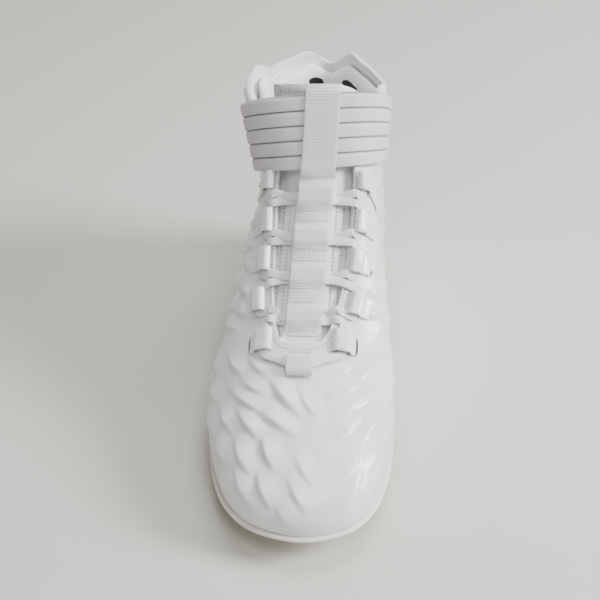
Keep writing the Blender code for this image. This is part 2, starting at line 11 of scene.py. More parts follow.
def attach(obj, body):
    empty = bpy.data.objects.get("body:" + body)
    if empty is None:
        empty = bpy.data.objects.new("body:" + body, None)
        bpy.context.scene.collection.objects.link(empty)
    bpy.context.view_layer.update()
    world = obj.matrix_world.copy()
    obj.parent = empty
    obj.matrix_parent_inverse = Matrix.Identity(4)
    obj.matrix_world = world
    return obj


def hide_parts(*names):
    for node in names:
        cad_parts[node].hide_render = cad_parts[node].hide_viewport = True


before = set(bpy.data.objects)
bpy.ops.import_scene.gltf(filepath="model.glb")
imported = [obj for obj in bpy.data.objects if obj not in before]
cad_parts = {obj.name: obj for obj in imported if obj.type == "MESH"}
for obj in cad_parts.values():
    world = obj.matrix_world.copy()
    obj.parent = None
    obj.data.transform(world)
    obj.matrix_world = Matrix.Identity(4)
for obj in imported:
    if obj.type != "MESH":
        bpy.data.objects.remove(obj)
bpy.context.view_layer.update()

# The viewpoint
# The photograph's own lens and height, 37 degrees down on the toe, turned so that the one shoe is central.
LENS_ANGLE = math.radians(30.5)
CAMERA_PLACE = (0.0669, -0.5390, 0.4694)
PAIR_VIEW = (-0.0207, 0.7984, -0.6018)
TURN_TO_SHOE = math.radians(4.83)
camera = bpy.data.objects.new("viewpoint", bpy.data.cameras.new("viewpoint"))
camera.data.angle = LENS_ANGLE
camera.location = CAMERA_PLACE
pair_view = Vector(PAIR_VIEW).to_track_quat("-Z", "Y")
camera.rotation_euler = (pair_view @ Quaternion((0, 1, 0), TURN_TO_SHOE)).to_euler()
bpy.context.scene.collection.objects.link(camera)
bpy.context.scene.camera = camera


# Floor and studio light
# A matt pale floor under soft light: a strong box on the shoe's inner side, weaker ones overhead and in
# front, and a pale, slightly warm room.
def linear(colour):
    """The linear colour of an sRGB hex value."""
    parts = [int(colour[i : i + 2], 16) / 255 for i in (0, 2, 4)]
    return (*[c / 12.92 if c <= 0.04045 else ((c + 0.055) / 1.055) ** 2.4 for c in parts], 1.0)


def start_finish(name, colour, roughness, others=None):
    """A material with its base colour and roughness, and any other settings of its shader."""
    made = bpy.data.materials.new(name)
    made.use_nodes = True
    shader = made.node_tree.nodes["Principled BSDF"]
    shader.inputs["Base Color"].default_value = linear(colour)
    shader.inputs["Roughness"].default_value = roughness
    for socket, value in (others or {}).items():
        shader.inputs[socket].default_value = value
    return made, made.node_tree, shader


def add_node(tree, kind, inputs=None, **settings):
    """Adds a node, sets it up, and fills or links its inputs, named or numbered."""
    made = tree.nodes.new(kind)
    for name, value in settings.items():
        setattr(made, name, value)
    for socket, value in (inputs or {}).items():
        if isinstance(value, bpy.types.NodeSocket):
            tree.links.new(value, made.inputs[socket])
        else:
            made.inputs[socket].default_value = value
    return made


floor_paint, tree, shader = start_finish("matt_floor", "D6D3CC", 0.75)
work = bmesh.new()
bmesh.ops.create_grid(work, x_segments=1, y_segments=1, size=6.0)
floor_mesh = bpy.data.meshes.new("floor")
work.to_mesh(floor_mesh)
work.free()
floor_mesh.materials.append(floor_paint)
floor = bpy.data.objects.new("floor", floor_mesh)
bpy.context.scene.collection.objects.link(floor)

SOFT_BOXES = (
    # name, place, aim, width, power in watts
    ("inner_side_box", (1.60, -0.15, 1.00), (0.0, -0.02, 0.05), 0.6, 57.0),
    ("overhead_box", (0.25, 0.45, 1.60), (0.0, 0.0, 0.10), 0.9, 18.0),
    ("front_box", (0.30, -0.75, 1.50), (0.0, 0.05, 0.10), 0.5, 9.0),
)
LAMP_COLOUR = (0.965, 0.985, 1.0)
for name, place, aim, width, power in SOFT_BOXES:
    lamp = bpy.data.lights.new(name, "AREA")
    lamp.size = width
    lamp.energy = power
    lamp.color = LAMP_COLOUR
    holder = bpy.data.objects.new(name, lamp)
    holder.location = place
    holder.rotation_euler = (Vector(aim) - Vector(place)).to_track_quat("-Z", "Y").to_euler()
    bpy.context.scene.collection.objects.link(holder)
room = bpy.data.worlds.new("room")
room.use_nodes = True
room.node_tree.nodes["Background"].inputs["Color"].default_value = linear("E8E2D9")
room.node_tree.nodes["Background"].inputs["Strength"].default_value = 0.34
bpy.context.scene.world = room


# Moulded upper
# One shell of glossy white synthetic, pressed hot over the last, with raised scales that point at the toe.
# Its form is worked out from the last's sections: foot, two handles and edge for each station.
LAST_LENGTH = 0.3056
BALL_WIDTH = 0.105
ANKLE_HEIGHT = 0.150
PLATE_TOP = 0.016
TOE_SPRING = 0.0045
UPPER_WALL = 0.0025
CLEARANCE = 0.0003
ORIGIN = np.array((0.0079183, -0.1528, 0.0))
OUTER, INNER = -1, 1
# along, outer, inner, lift, edge_along, edge_outer, edge_inner, edge_height, bulge, rise, beside, back, drop
STATIONS = (
    (0.000, 0.000, 0.000, 1.00, 0.308, 0.050, -0.050, 0.400, 0.038, 0.160, 0.000, -0.140, 0.160),  # toe_tip
    (0.013, 0.190, 0.172, 0.97, 0.309, 0.110, 0.004, 0.400, 0.038, 0.160, 0.057, -0.134, 0.158),  # toe_round
    (0.043, 0.328, 0.290, 0.85, 0.314, 0.162, 0.053, 0.403, 0.043, 0.167, 0.133, -0.120, 0.158),  # toe_corner
    (0.098, 0.440, 0.372, 0.60, 0.333, 0.197, 0.098, 0.423, 0.052, 0.173, 0.210, -0.065, 0.153),  # toe_side
    (0.183, 0.522, 0.416, 0.25, 0.368, 0.220, 0.132, 0.461, 0.067, 0.180, 0.238, -0.045, 0.167),  # big_toe
    (0.284, 0.576, 0.424, 0.04, 0.408, 0.228, 0.163, 0.521, 0.076, 0.187, 0.248, -0.033, 0.170),  # ball
    (0.371, 0.555, 0.400, 0.00, 0.455, 0.224, 0.186, 0.612, 0.067, 0.200, 0.248, -0.015, 0.153),  # ball_back
    (0.470, 0.505, 0.352, 0.25, 0.501, 0.224, 0.205, 0.705, 0.048, 0.227, 0.238, 0.008, 0.129),  # waist_front
    (0.581, 0.443, 0.310, 0.40, 0.541, 0.226, 0.214, 0.795, 0.038, 0.267, 0.210, 0.010, 0.139),  # waist
    (0.706, 0.390, 0.310, 0.25, 0.582, 0.228, 0.227, 0.884, 0.029, 0.307, 0.180, 0.003, 0.173),  # waist_back
    (0.820, 0.362, 0.329, 0.00, 0.692, 0.362, 0.335, 0.867, 0.029, 0.320, 0.010, 0.026, 0.307),  # heel_front
    (0.918, 0.319, 0.300, 0.00, 0.853, 0.332, 0.295, 0.720, 0.038, 0.280, 0.000, 0.013, 0.240),  # heel_side
    (0.978, 0.195, 0.190, 0.00, 0.955, 0.190, 0.186, 0.680, 0.048, 0.267, 0.000, -0.007, 0.213),  # heel_round
    (1.000, 0.000, 0.000, 0.00, 0.980, 0.000, 0.000, 0.673, 0.057, 0.253, 0.000, -0.013, 0.213),  # heel_back
)
HEEL = len(STATIONS) - 1
RING = 2 * HEEL


def last_controls():
    """The ring of sections: foot, lower handle, upper handle and edge of each, outer side first."""
    rows = np.array(STATIONS)
    columns = np.vstack((rows, rows[-2:0:-1])).T
    along, outer, inner, lift = columns[:4]
    edge_along, edge_outer, edge_inner, edge_height = columns[4:8]
    bulge, rise, beside, back, drop = columns[8:]
    side = np.where(np.arange(RING) <= HEEL, OUTER, INNER)
    foot_x = side * np.where(side == OUTER, outer, inner) * BALL_WIDTH
    edge_x = side * np.where(side == OUTER, edge_outer, edge_inner) * BALL_WIDTH
    foot = np.stack((foot_x, along * LAST_LENGTH, PLATE_TOP + lift * TOE_SPRING), 1)
    edge = np.stack((edge_x, edge_along * LAST_LENGTH, PLATE_TOP + edge_height * ANKLE_HEIGHT), 1)
    low = foot + sideways(foot, np.arange(RING)) * bulge[:, None] * BALL_WIDTH
    low[:, 2] += rise * ANKLE_HEIGHT
    lean = np.stack((side * beside * BALL_WIDTH, back * LAST_LENGTH, -drop * ANKLE_HEIGHT), 1)
    return foot, np.stack((foot, low, edge + lean, edge), 1)


def bend(a, b, c, d, share):
    """A smooth curve through b and c, with a before it and d after it."""
    straight = (c - a) * share
    squared = (2 * a - 5 * b + 4 * c - d) * share**2
    cubed = (3 * b - a - 3 * c + d) * share**3
    return 0.5 * (2 * b + straight + squared + cubed)


def through(points, place):
    """The smooth closed curve through the points, at each place round it."""
    place = np.asarray(place, float)
    start = np.floor(place).astype(int)
    share = (place - start).reshape(place.shape + (1,) * (points.ndim - 1))
    return bend(*(points[(start + step) % len(points)] for step in (-1, 0, 1, 2)), share)


def unit(vectors):
    return vectors / np.linalg.norm(vectors, axis=-1, keepdims=True)


def sideways(ring, place):
    """The level direction away from the foot at each place round the ring."""
    run = through(ring, np.asarray(place) + 0.01) - through(ring, np.asarray(place) - 0.01)
    return unit(np.stack((-run[..., 1], run[..., 0], run[..., 0] * 0), -1))


FEET, SECTIONS = last_controls()


def upper_at(place, up):
    """The upper's outer face: place runs round the ring of sections, up goes from the sole to the opening."""
    foot, low, high, edge = np.moveaxis(through(SECTIONS, place), -2, 0)
    up = np.asarray(up, float)[..., None]
    down = 1 - up
    return foot * down**3 + low * 3 * down**2 * up + high * 3 * down * up**2 + edge * up**3


def facing(surface, a, b, step=1e-3):
    """The normal of a surface of two shares, which points out of the shoe."""
    round_it = surface(a + step, b) - surface(a - step, b)
    up_it = surface(a, b + step) - surface(a, b - step)
    return unit(np.cross(up_it, round_it))


def bent_grid(across, along, shape, size=(1.0, 1.0), orderly=True):
    """A bmesh grid bent by shape(a, b), with its flat size in metres as UV map."""
    made = bmesh.new()
    bmesh.ops.create_grid(made, x_segments=across, y_segments=along, size=0.5)
    weave = made.loops.layers.uv.new("flat_size")
    for face in made.faces:
        for loop in face.loops:
            loop[weave].uv = ((loop.vert.co.x + 0.5) * size[0], (loop.vert.co.y + 0.5) * size[1])
    flat = np.array([vert.co for vert in made.verts]) + 0.5
    for vert, point in zip(made.verts, shape(flat[:, 0], flat[:, 1]) + ORIGIN):
        vert.co = point
    bmesh.ops.remove_doubles(made, verts=made.verts, dist=1e-6)
    return made


def fit_piece(name, made, finish, slot, *nodes):
    """Makes a smooth piece of the mesh, which rides on the shoe and stands for its solids."""
    mesh = bpy.data.meshes.new(name)
    made.to_mesh(mesh)
    made.free()
    mesh.shade_smooth()
    mesh.materials.append(finish)
    new = bpy.data.objects.new(name, mesh)
    bpy.context.scene.collection.objects.link(new)
    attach(new, "root")
    if nodes:
        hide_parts(*nodes)
    return new


def add_wall(new, thickness, side, even=True):
    """Gives an open sheet its thickness: side is -1 to grow inwards, 1 outwards."""
    wall = new.modifiers.new("wall", "SOLIDIFY")
    wall.thickness = thickness
    wall.offset = side
    wall.use_even_offset = even


def round_edges(new, width, segments=2):
    """Rounds the sharp edges of a piece."""
    bevel = new.modifiers.new("rounding", "BEVEL")
    bevel.width = width
    bevel.segments = segments
    bevel.limit_method = "ANGLE"
    bevel.angle_limit = math.radians(50)


def ramp(value, start, stop):
    """Rises smoothly from 0 at start to 1 at stop."""
    share = np.clip((value - start) / (stop - start), 0, 1)
    return share * share * (3 - 2 * share)


SCALE_HEIGHT = 0.0027
SCALE_FACE = 0.0100
SCALE_FOOT = 0.0028
SCALE_OVERRUN = 0.0045
VAMP_SCALES = (
    # the two ends of a scale's crest, each as place and up, and its height as a share
    (4.48, 0.617, 3.44, 0.683, 1.00),
    (3.18, 0.783, 2.02, 0.829, 0.75),
    (2.96, 0.692, 2.04, 0.746, 0.85),
    (1.56, 0.808, 0.26, 0.717, 0.95),
    (3.48, 0.579, 1.74, 0.667, 1.00),
    (1.88, 0.671, 0.28, 0.613, 0.90),
    (4.80, 0.329, 3.94, 0.446, 0.80),
    (3.62, 0.454, 2.84, 0.462, 1.00),
    (2.62, 0.571, 1.78, 0.567, 1.10),
    (3.34, 0.321, 2.70, 0.300, 1.00),
    (2.42, 0.446, 1.76, 0.375, 1.10),
    (1.34, 0.542, 0.90, 0.450, 0.90),
    (2.20, 0.321, 1.52, 0.192, 1.00),
    (1.24, 0.350, 0.92, 0.250, 0.90),
    (0.24, 0.367, -0.10, 0.242, 0.50),
    (0.00, 0.479, -0.36, 0.388, 0.45),
    (-0.04, 0.783, -0.70, 0.696, 0.50),
    (4.68, 0.196, 3.80, 0.275, 0.65),
    (2.88, 0.183, 2.36, 0.146, 0.60),
    (5.50, 0.392, 4.80, 0.454, 0.80),
    (0.56, 0.212, 0.34, 0.104, 0.30),
    (1.48, 0.108, 1.10, 0.017, 0.35),
)
SIDE_ROWS = (0.11, 0.26, 0.42, 0.58, 0.74, 0.90)
SIDE_START = 5.15
SIDE_STEP = 0.66
SIDE_SCALES = 11


def scale_places():
    """Every raised scale of the outer side: those of the vamp listed, those of the side in leaning rows."""
    found = list(VAMP_SCALES)
    for number, row in enumerate(SIDE_ROWS):
        for step in range(SIDE_SCALES):
            uneven = 0.12 * math.sin(number * 5.1 + step * 3.7)
            place = SIDE_START + SIDE_STEP * (step + 0.5 * (number % 2) + uneven)
            up = row + 0.02 * math.sin(number * 2.3 + step * 4.9)
            if place < 5.9 and 0.3 < up < 0.5:
                continue
            share = 0.95 + 0.2 * math.sin(number * 3.3 + step * 2.1)
            found.append((place + 0.26, up - 0.05, place - 0.26, up + 0.05, share))
    return found


def scale_relief(place, up, points):
    """How far the moulded scales stand out: gentle on their upper side, steep towards the sole."""
    relief = np.zeros_like(up)
    for side in (OUTER, INNER):
        for start, low, stop, high, share in scale_places():
            ends = np.array((start, stop)) if side == OUTER else RING - np.array((start, stop))
            back, front = upper_at(ends, np.array((low, high)))
            crest = unit(back - front)
            out = facing(upper_at, ends.mean(), (low + high) / 2)
            down = np.cross(out, crest)
            down = unit(down * (-1 if down[2] > 0 else 1))
            off = points - (back + front) / 2
            reach = np.linalg.norm(back - front) / 2 + SCALE_OVERRUN
            run = np.clip(1.12 - np.abs(off @ crest) / reach, 0, 1) ** 0.9
            slip = off @ down + 0.0014 * (1 - run)
            face = np.clip(1 + slip / SCALE_FACE, 0, 1) ** 1.25
            drop = run * face * (1 - ramp(slip, -0.0002, SCALE_FOOT))
            if side == INNER:
                share = share * float(ramp(start, 0.4, 3.2)) * 0.6
            relief = np.maximum(relief, drop * share * np.clip(1 - np.abs(off @ out) / 0.03, 0, 1))
    to_edge = np.linalg.norm(points - upper_at(place, np.ones_like(up)), axis=-1)
    to_foot = np.linalg.norm(points - upper_at(place, np.zeros_like(up)), axis=-1)
    return relief * ramp(to_foot, 0.001, 0.009) * ramp(to_edge, 0.014, 0.027) * SCALE_HEIGHT


def upper_shape(a, b):
    """The upper's outer face with its scales."""
    place = RING * (1 - a)
    points = upper_at(place, b)
    return points + facing(upper_at, place, b) * scale_relief(place, b, points)[:, None]


moulded_synthetic, tree, shader = start_finish(
    # Polyurethane film over foam, moulded: soft broad highlights from a faintly grained skin.
    "moulded_synthetic", "EDEDEE", 0.34, {"IOR": 1.5, "Coat Weight": 0.4, "Coat Roughness": 0.22}
)
where = add_node(tree, "ShaderNodeTexCoord").outputs["Object"]
clouds = add_node(tree, "ShaderNodeTexNoise", {"Vector": where, "Scale": 45.0, "Detail": 3.0})
tint = add_node(
    tree,
    "ShaderNodeMix",
    {"Factor": clouds.outputs["Fac"], 6: linear("E8E7E7"), 7: linear("F0F0F1")},
    data_type="RGBA",
)
tree.links.new(tint.outputs[2], shader.inputs["Base Color"])
gloss = add_node(tree, "ShaderNodeMapRange", {"Value": clouds.outputs["Fac"], "To Min": 0.29, "To Max": 0.42})
tree.links.new(gloss.outputs["Result"], shader.inputs["Roughness"])
grain = add_node(tree, "ShaderNodeTexNoise", {"Vector": where, "Scale": 1400.0, "Detail": 2.0})
skin = add_node(
    tree, "ShaderNodeBump", {"Height": grain.outputs["Fac"], "Strength": 0.25, "Distance": 0.00005}
)
tree.links.new(skin.outputs["Normal"], shader.inputs["Normal"])

upper = fit_piece(
    "upper_shell", bent_grid(520, 84, upper_shape), moulded_synthetic, "moulded_upper", "upper"
)
add_wall(upper, UPPER_WALL, -1)
round_edges(upper, 0.0007)


# Plate and studs
# A thin cream-white plate of moulded nylon, faintly see-through at its lip, in one piece with twelve round
# studs. It closes the upper from below.
LIP_REACH = 0.0026
PLATE_THICKNESS = 0.004
STUD_TIP = 0.0085
STUD_BASE = 0.012
STUDS = (
    (0.096, -0.03),
    (0.165, -0.40),
    (0.165, 0.30),
    (0.239, -0.05),
    (0.284, -0.47),
    (0.274, 0.32),
    (0.402, -0.43),
    (0.392, 0.29),
    (0.792, -0.24),
    (0.792, 0.20),
    (0.926, -0.18),
    (0.926, 0.17),
)


def plate_edge(place, reach, rise):
    """A point of the sole's outline, moved out by reach and up by rise."""
    up = np.stack((np.zeros_like(rise), np.zeros_like(rise), rise), -1)
    return through(FEET, place) + sideways(FEET, place) * np.asarray(reach)[..., None] + up


def slab(levels):
    """A closed slab of the sole's outline: each level is a reach and a rise of its side, from the bottom."""
    reaches, rises = np.array(levels).T
    shares = np.linspace(0, 1, len(levels))

    def side(a, b):
        return plate_edge(RING * (1 - a), np.interp(b, shares, reaches), np.interp(b, shares, rises))

    made = bent_grid(RING * 10, len(levels) - 1, side)
    for reach, rise in (levels[0], levels[-1]):

        def face(a, b, reach=reach, rise=rise):
            level = np.full_like(b, reach), np.full_like(b, rise)
            outer = plate_edge(HEEL * b, *level)
            return outer + (plate_edge(RING - HEEL * b, *level) - outer) * a[:, None]

        half = bent_grid(12, HEEL * 10, face)
        flat = bpy.data.meshes.new("face")
        half.to_mesh(flat)
        half.free()
        made.from_mesh(flat)
        bpy.data.meshes.remove(flat)
    bmesh.ops.remove_doubles(made, verts=made.verts, dist=1e-6)
    bmesh.ops.recalc_face_normals(made, faces=made.faces)
    return made


moulded_nylon, tree, shader = start_finish(
    # Injection-moulded nylon, cream white: a soft gloss and a little light let through at the thin lip.
    "moulded_nylon", "EBE8E0", 0.30, {"IOR": 1.53, "Subsurface Weight": 0.12, "Subsurface Scale": 0.004}
)
where = add_node(tree, "ShaderNodeTexCoord").outputs["Object"]
flow = add_node(tree, "ShaderNodeTexNoise", {"Vector": where, "Scale": 60.0, "Detail": 3.0})
gloss = add_node(tree, "ShaderNodeMapRange", {"Value": flow.outputs["Fac"], "To Min": 0.24, "To Max": 0.40})
tree.links.new(gloss.outputs["Result"], shader.inputs["Roughness"])

PLATE_SIDE = (
    # reach from the outline, rise from the plate's top
    (-0.0045, -0.0040),
    (-0.0020, -0.0037),
    (0.0004, -0.0032),
    (0.0018, -0.0025),
    (0.0024, -0.0019),
    (LIP_REACH, -0.0013),
    (0.0025, -0.0008),
    (0.0020, -0.0004),
    (0.0012, -0.0003),
)
plate = slab(PLATE_SIDE)
for along, across in STUDS:
    middle = Vector((across * BALL_WIDTH, along * LAST_LENGTH, 0.0)) + Vector(ORIGIN)
    lift = float(np.interp(along, [s[0] for s in STATIONS], [s[3] for s in STATIONS])) * TOE_SPRING
    under = PLATE_TOP - PLATE_THICKNESS + lift
    profile = (
        # distance from the stud's middle, height
        (0.0, 0.0),
        (STUD_TIP / 2 - 0.0007, 0.0),
        (STUD_TIP / 2 - 0.0001, 0.0005),
        (STUD_TIP / 2 + 0.0001, 0.0013),
        (STUD_BASE / 2 - 0.0005, under - 0.0014),
        (STUD_BASE / 2 + 0.0001, under - 0.0006),
        (STUD_BASE / 2 + 0.0012, under),
        (STUD_BASE / 2 + 0.0012, under + 0.001),
        (0.0, under + 0.001),
    )
    line = [plate.verts.new(middle + Vector((out, 0.0, height))) for out, height in profile]
    sides = [plate.edges.new(pair) for pair in zip(line, line[1:])]
    bmesh.ops.spin(
        plate, geom=line + sides, cent=middle, axis=(0, 0, 1), angle=2 * math.pi, steps=32, use_merge=True
    )
bmesh.ops.remove_doubles(plate, verts=plate.verts, dist=1e-6)
bmesh.ops.recalc_face_normals(plate, faces=plate.faces)
plate = fit_piece("studded_plate", plate, moulded_nylon, "moulded_plate", "outsole")


# Sockliner and lining
# A die-cut foam sheet under a brushed knit cover, seen down the opening only. An open spacer mesh lines
# the inside of the upper, whose second material it is.
insole_cover, tree, shader = start_finish(
    # Brushed polyester knit: quite matt, with a faint bloom at grazing angles.
    "brushed_knit", "D6D6D8", 0.92, {"Sheen Weight": 0.3}
)
where = add_node(tree, "ShaderNodeTexCoord").outputs["Object"]
knit = add_node(tree, "ShaderNodeTexVoronoi", {"Vector": where, "Scale": 800.0})
rows = add_node(
    tree, "ShaderNodeBump", {"Height": knit.outputs["Distance"], "Strength": 0.5, "Distance": 0.0002}
)
tree.links.new(rows.outputs["Normal"], shader.inputs["Normal"])

spacer_mesh, tree, shader = start_finish(
    # Polyester spacer mesh: matt threads round holes 1.6 mm apart, with painted shade darkening the holes.
    "spacer_mesh", "DDDDDF", 0.9, {"Sheen Weight": 0.25}
)
where = add_node(tree, "ShaderNodeTexCoord").outputs["Object"]
holes = add_node(tree, "ShaderNodeTexVoronoi", {"Vector": where, "Scale": 620.0, "Randomness": 0.25})
hole_depth_and_shade = add_node(
    tree, "ShaderNodeMapRange", {"Value": holes.outputs["Distance"], "From Min": 0.1, "From Max": 0.5}
)
# painted shade: the colour is darkened in the holes, by the same mask that drives the bump
shade = add_node(
    tree,
    "ShaderNodeMix",
    {"Factor": hole_depth_and_shade.outputs["Result"], 6: linear("D8D7D9"), 7: linear("EEEEEF")},
    data_type="RGBA",
)
tree.links.new(shade.outputs[2], shader.inputs["Base Color"])
threads = add_node(
    tree, "ShaderNodeBump", {"Height": hole_depth_and_shade.outputs["Result"], "Strength": 0.6, "Distance": 0.0003}
)
tree.links.new(threads.outputs["Normal"], shader.inputs["Normal"])

upper.data.materials.append(spacer_mesh)
upper.modifiers["wall"].material_offset = 1

INSOLE_SIDE = (
    # reach from the outline, rise from the plate's top
    (-0.0046, 0.0003),
    (-0.0041, 0.0006),
    (-0.0040, 0.0020),
    (-0.0041, 0.0034),
    (-0.0048, 0.0040),
)
insole = fit_piece("sockliner", slab(INSOLE_SIDE), insole_cover, "lining", "insole")


# Knit cuff
# A soft, stretchy cuff knitted in fine ribs and sewn inside the upper's edge: high in front, with two low
# ears and a notch at the heel.
COLLAR_WALL = 0.0027
# station, along, outer, inner, outer_height, inner_height
RIMS = (
    (9.00, 0.666, 0.360, 0.314, 0.985, 1.005),
    (9.35, 0.693, 0.415, 0.338, 1.075, 1.040),
    (9.80, 0.721, 0.385, 0.355, 1.137, 1.050),
    (10.30, 0.771, 0.350, 0.365, 1.090, 1.007),
    (10.75, 0.817, 0.335, 0.360, 1.037, 0.970),
    (11.20, 0.870, 0.315, 0.319, 1.007, 0.955),
    (11.80, 0.928, 0.235, 0.225, 0.983, 0.960),
    (12.40, 0.962, 0.138, 0.138, 0.980, 0.970),
    (13.00, 0.985, 0.000, 0.000, 0.907, 0.907),
)
outer_rim, inner_rim = [], []
for station, along, outer, inner, outer_height, inner_height in RIMS:
    y = along * LAST_LENGTH
    outer_rim.append((-outer * BALL_WIDTH, y, PLATE_TOP + outer_height * ANKLE_HEIGHT, station))
    inner_rim.append((inner * BALL_WIDTH, y, PLATE_TOP + inner_height * ANKLE_HEIGHT, RING - station))
RIM_LINE = np.array(outer_rim + inner_rim[-2::-1])
COLLAR_ENDS = len(RIM_LINE) - 1


def along_rows(rows, place):
    """The smooth open curve through the rows, at each place along it."""
    longer = np.vstack((2 * rows[0] - rows[1], rows, 2 * rows[-1] - rows[-2]))
    start = np.clip(np.floor(place).astype(int), 0, len(rows) - 2)
    return bend(*(longer[start + step] for step in range(4)), (np.asarray(place) - start)[..., None])


def cuff_at(place, rise):
    """The cuff's outer face: place runs from its outer front edge round the heel to its inner one."""
    place, rise = np.asarray(place, float), np.asarray(rise, float)
    rim = along_rows(RIM_LINE, place)
    edge = upper_at(rim[..., 3], np.ones_like(rise))
    swell = sideways(FEET, rim[..., 3]) * (0.006 * rise * (1 - rise))[..., None]
    above = edge + (rim[..., :3] - edge) * rise[..., None] + swell
    below = upper_at(rim[..., 3], 1 + np.minimum(rise, 0) * 0.35)
    return np.where((rise < 0)[..., None], below, above)


def cuff_shape(a, b):
    """The cuff's outer face with its shallow slack folds."""
    place = COLLAR_ENDS * (1 - a)
    rise = 0.02 + 0.98 * b
    points = cuff_at(place, rise)
    slack = np.sin(place * 2.9 + 1.1) * np.sin(place * 1.3 + rise * 2.0) * 0.0005 * rise
    return points + facing(cuff_at, place, rise) * (slack - 0.0004)[:, None]


rib_knit, tree, shader = start_finish(
    # Polyester rib knit: matt soft white, ribs about 1.3 mm apart, with painted shade making the valleys
    # between slightly darker.
    "rib_knit", "EFEEEF", 0.88, {"Sheen Weight": 0.35, "Sheen Roughness": 0.4}
)
flat = add_node(tree, "ShaderNodeUVMap", uv_map="flat_size").outputs["UV"]
ribs = add_node(tree, "ShaderNodeTexWave", {"Vector": flat, "Scale": 224.0, "Distortion": 0.4, "Detail": 1.0})
courses = add_node(
    tree, "ShaderNodeTexWave", {"Vector": flat, "Scale": 300.0, "Distortion": 0.5}, bands_direction="Y"
)
loops = add_node(tree, "ShaderNodeMath", {0: ribs.outputs["Fac"], 1: courses.outputs["Fac"]}, operation="ADD")
# painted shade: the valleys between the ribs are coloured slightly darker
shade = add_node(
    tree,
    "ShaderNodeMix",
    {"Factor": ribs.outputs["Fac"], 6: linear("EBEAEC"), 7: linear("F2F1F2")},
    data_type="RGBA",
)
tree.links.new(shade.outputs[2], shader.inputs["Base Color"])
threads = add_node(tree, "ShaderNodeBump", {"Height": loops.outputs[0], "Strength": 0.3, "Distance": 0.00015})
tree.links.new(threads.outputs["Normal"], shader.inputs["Normal"])

cuff = fit_piece(
    "knit_cuff", bent_grid(220, 22, cuff_shape, size=(0.27, 0.035)), rib_knit, "knit_collar", "collar"
)
add_wall(cuff, COLLAR_WALL - 0.0004, -1, even=False)
round_edges(cuff, 0.0013, segments=3)


# Padded roll
# A foam roll under smooth knit, round the inside of the cuff, with a welt along its top and rounded ends at
# the front. A black silicone print sits on each side of its back seam.
BOLSTER_THICKNESS = 0.008
OUTER_END, INNER_END = 1.40, 1.35
ROLL_SECTION = np.array(
    # rise up the cuff, thickness as a share
    (
        (-0.42, 0.10),
        (0.00, 0.00),
        (0.42, 0.00),
        (0.74, 0.04),
        (0.84, 0.40),
        (0.70, 0.84),
        (0.30, 1.00),
        (-0.10, 0.87),
        (-0.38, 0.50),
    )
)


def roll_at(round_it, along):
    """The roll's skin: round its section, and along it from the outer front end to the inner one."""
    place = OUTER_END + (COLLAR_ENDS - OUTER_END - INNER_END) * along
    from_end = np.clip(np.minimum(along, 1 - along) / 0.055, 0, 1)
    rounded = np.sqrt(1 - (1 - from_end) ** 2)
    squarer = (1 - (1 - from_end) ** 4) ** 0.25
    section = through(ROLL_SECTION, round_it * len(ROLL_SECTION))
    rise = 0.2 + (section[..., 0] - 0.2) * squarer
    share = 0.35 + (section[..., 1] - 0.35) * rounded
    seam = np.exp(-(((along - 0.5) / 0.006) ** 2)) * 0.10 * ramp(section[..., 1], 0.2, 0.7)
    lumps = 1 + 0.03 * np.sin(along * 41.0) * np.sin(along * 17.0 + section[..., 0] * 3.0)
    inwards = COLLAR_WALL + 0.0004 + (share - seam) * BOLSTER_THICKNESS * lumps
    return cuff_at(place, rise) - facing(cuff_at, place, rise) * inwards[..., None]


lining_knit, tree, shader = start_finish(
    # Brushed tricot over foam: matt, with a soft bloom and a fine cord 0.9 mm apart.
    "lining_tricot", "F0EFF0", 0.92, {"Sheen Weight": 0.4, "Sheen Roughness": 0.4}
)
flat = add_node(tree, "ShaderNodeUVMap", uv_map="flat_size").outputs["UV"]
cords = add_node(
    tree, "ShaderNodeTexWave", {"Vector": flat, "Scale": 350.0, "Distortion": 1.0, "Detail": 2.0}
)
blotches = add_node(tree, "ShaderNodeTexNoise", {"Vector": flat, "Scale": 90.0, "Detail": 3.0})
shade = add_node(
    tree,
    "ShaderNodeMix",
    {"Factor": blotches.outputs["Fac"], 6: linear("EBEAEB"), 7: linear("F3F2F3")},
    data_type="RGBA",
)
tree.links.new(shade.outputs[2], shader.inputs["Base Color"])
threads = add_node(
    tree, "ShaderNodeBump", {"Height": cords.outputs["Fac"], "Strength": 0.35, "Distance": 0.00015}
)
tree.links.new(threads.outputs["Normal"], shader.inputs["Normal"])

roll = bent_grid(54, 200, roll_at, size=(0.05, 0.22))
bmesh.ops.recalc_face_normals(roll, faces=roll.faces)
roll = fit_piece("padded_roll", roll, lining_knit, "lining", "collar_bolster")

PRINTS = (
    # along the roll, round it, and half its size in both directions
    (0.410, 0.604, 0.041, 0.036),
    (0.620, 0.642, 0.060, 0.070),
)


def print_shape(a, b, along, round_it, half_along, half_round):
    """A silicone print on the roll's inner face, a rectangle with rounded corners."""
    turn = 2 * math.pi * a
    squared = np.maximum(np.abs(np.cos(turn)), np.abs(np.sin(turn))) ** 0.7
    wide, high = np.cos(turn) / squared * b, np.sin(turn) / squared * b
    above, beside = round_it + half_round * high, along + half_along * wide
    return roll_at(above, beside) - facing(roll_at, above, beside) * 0.00015


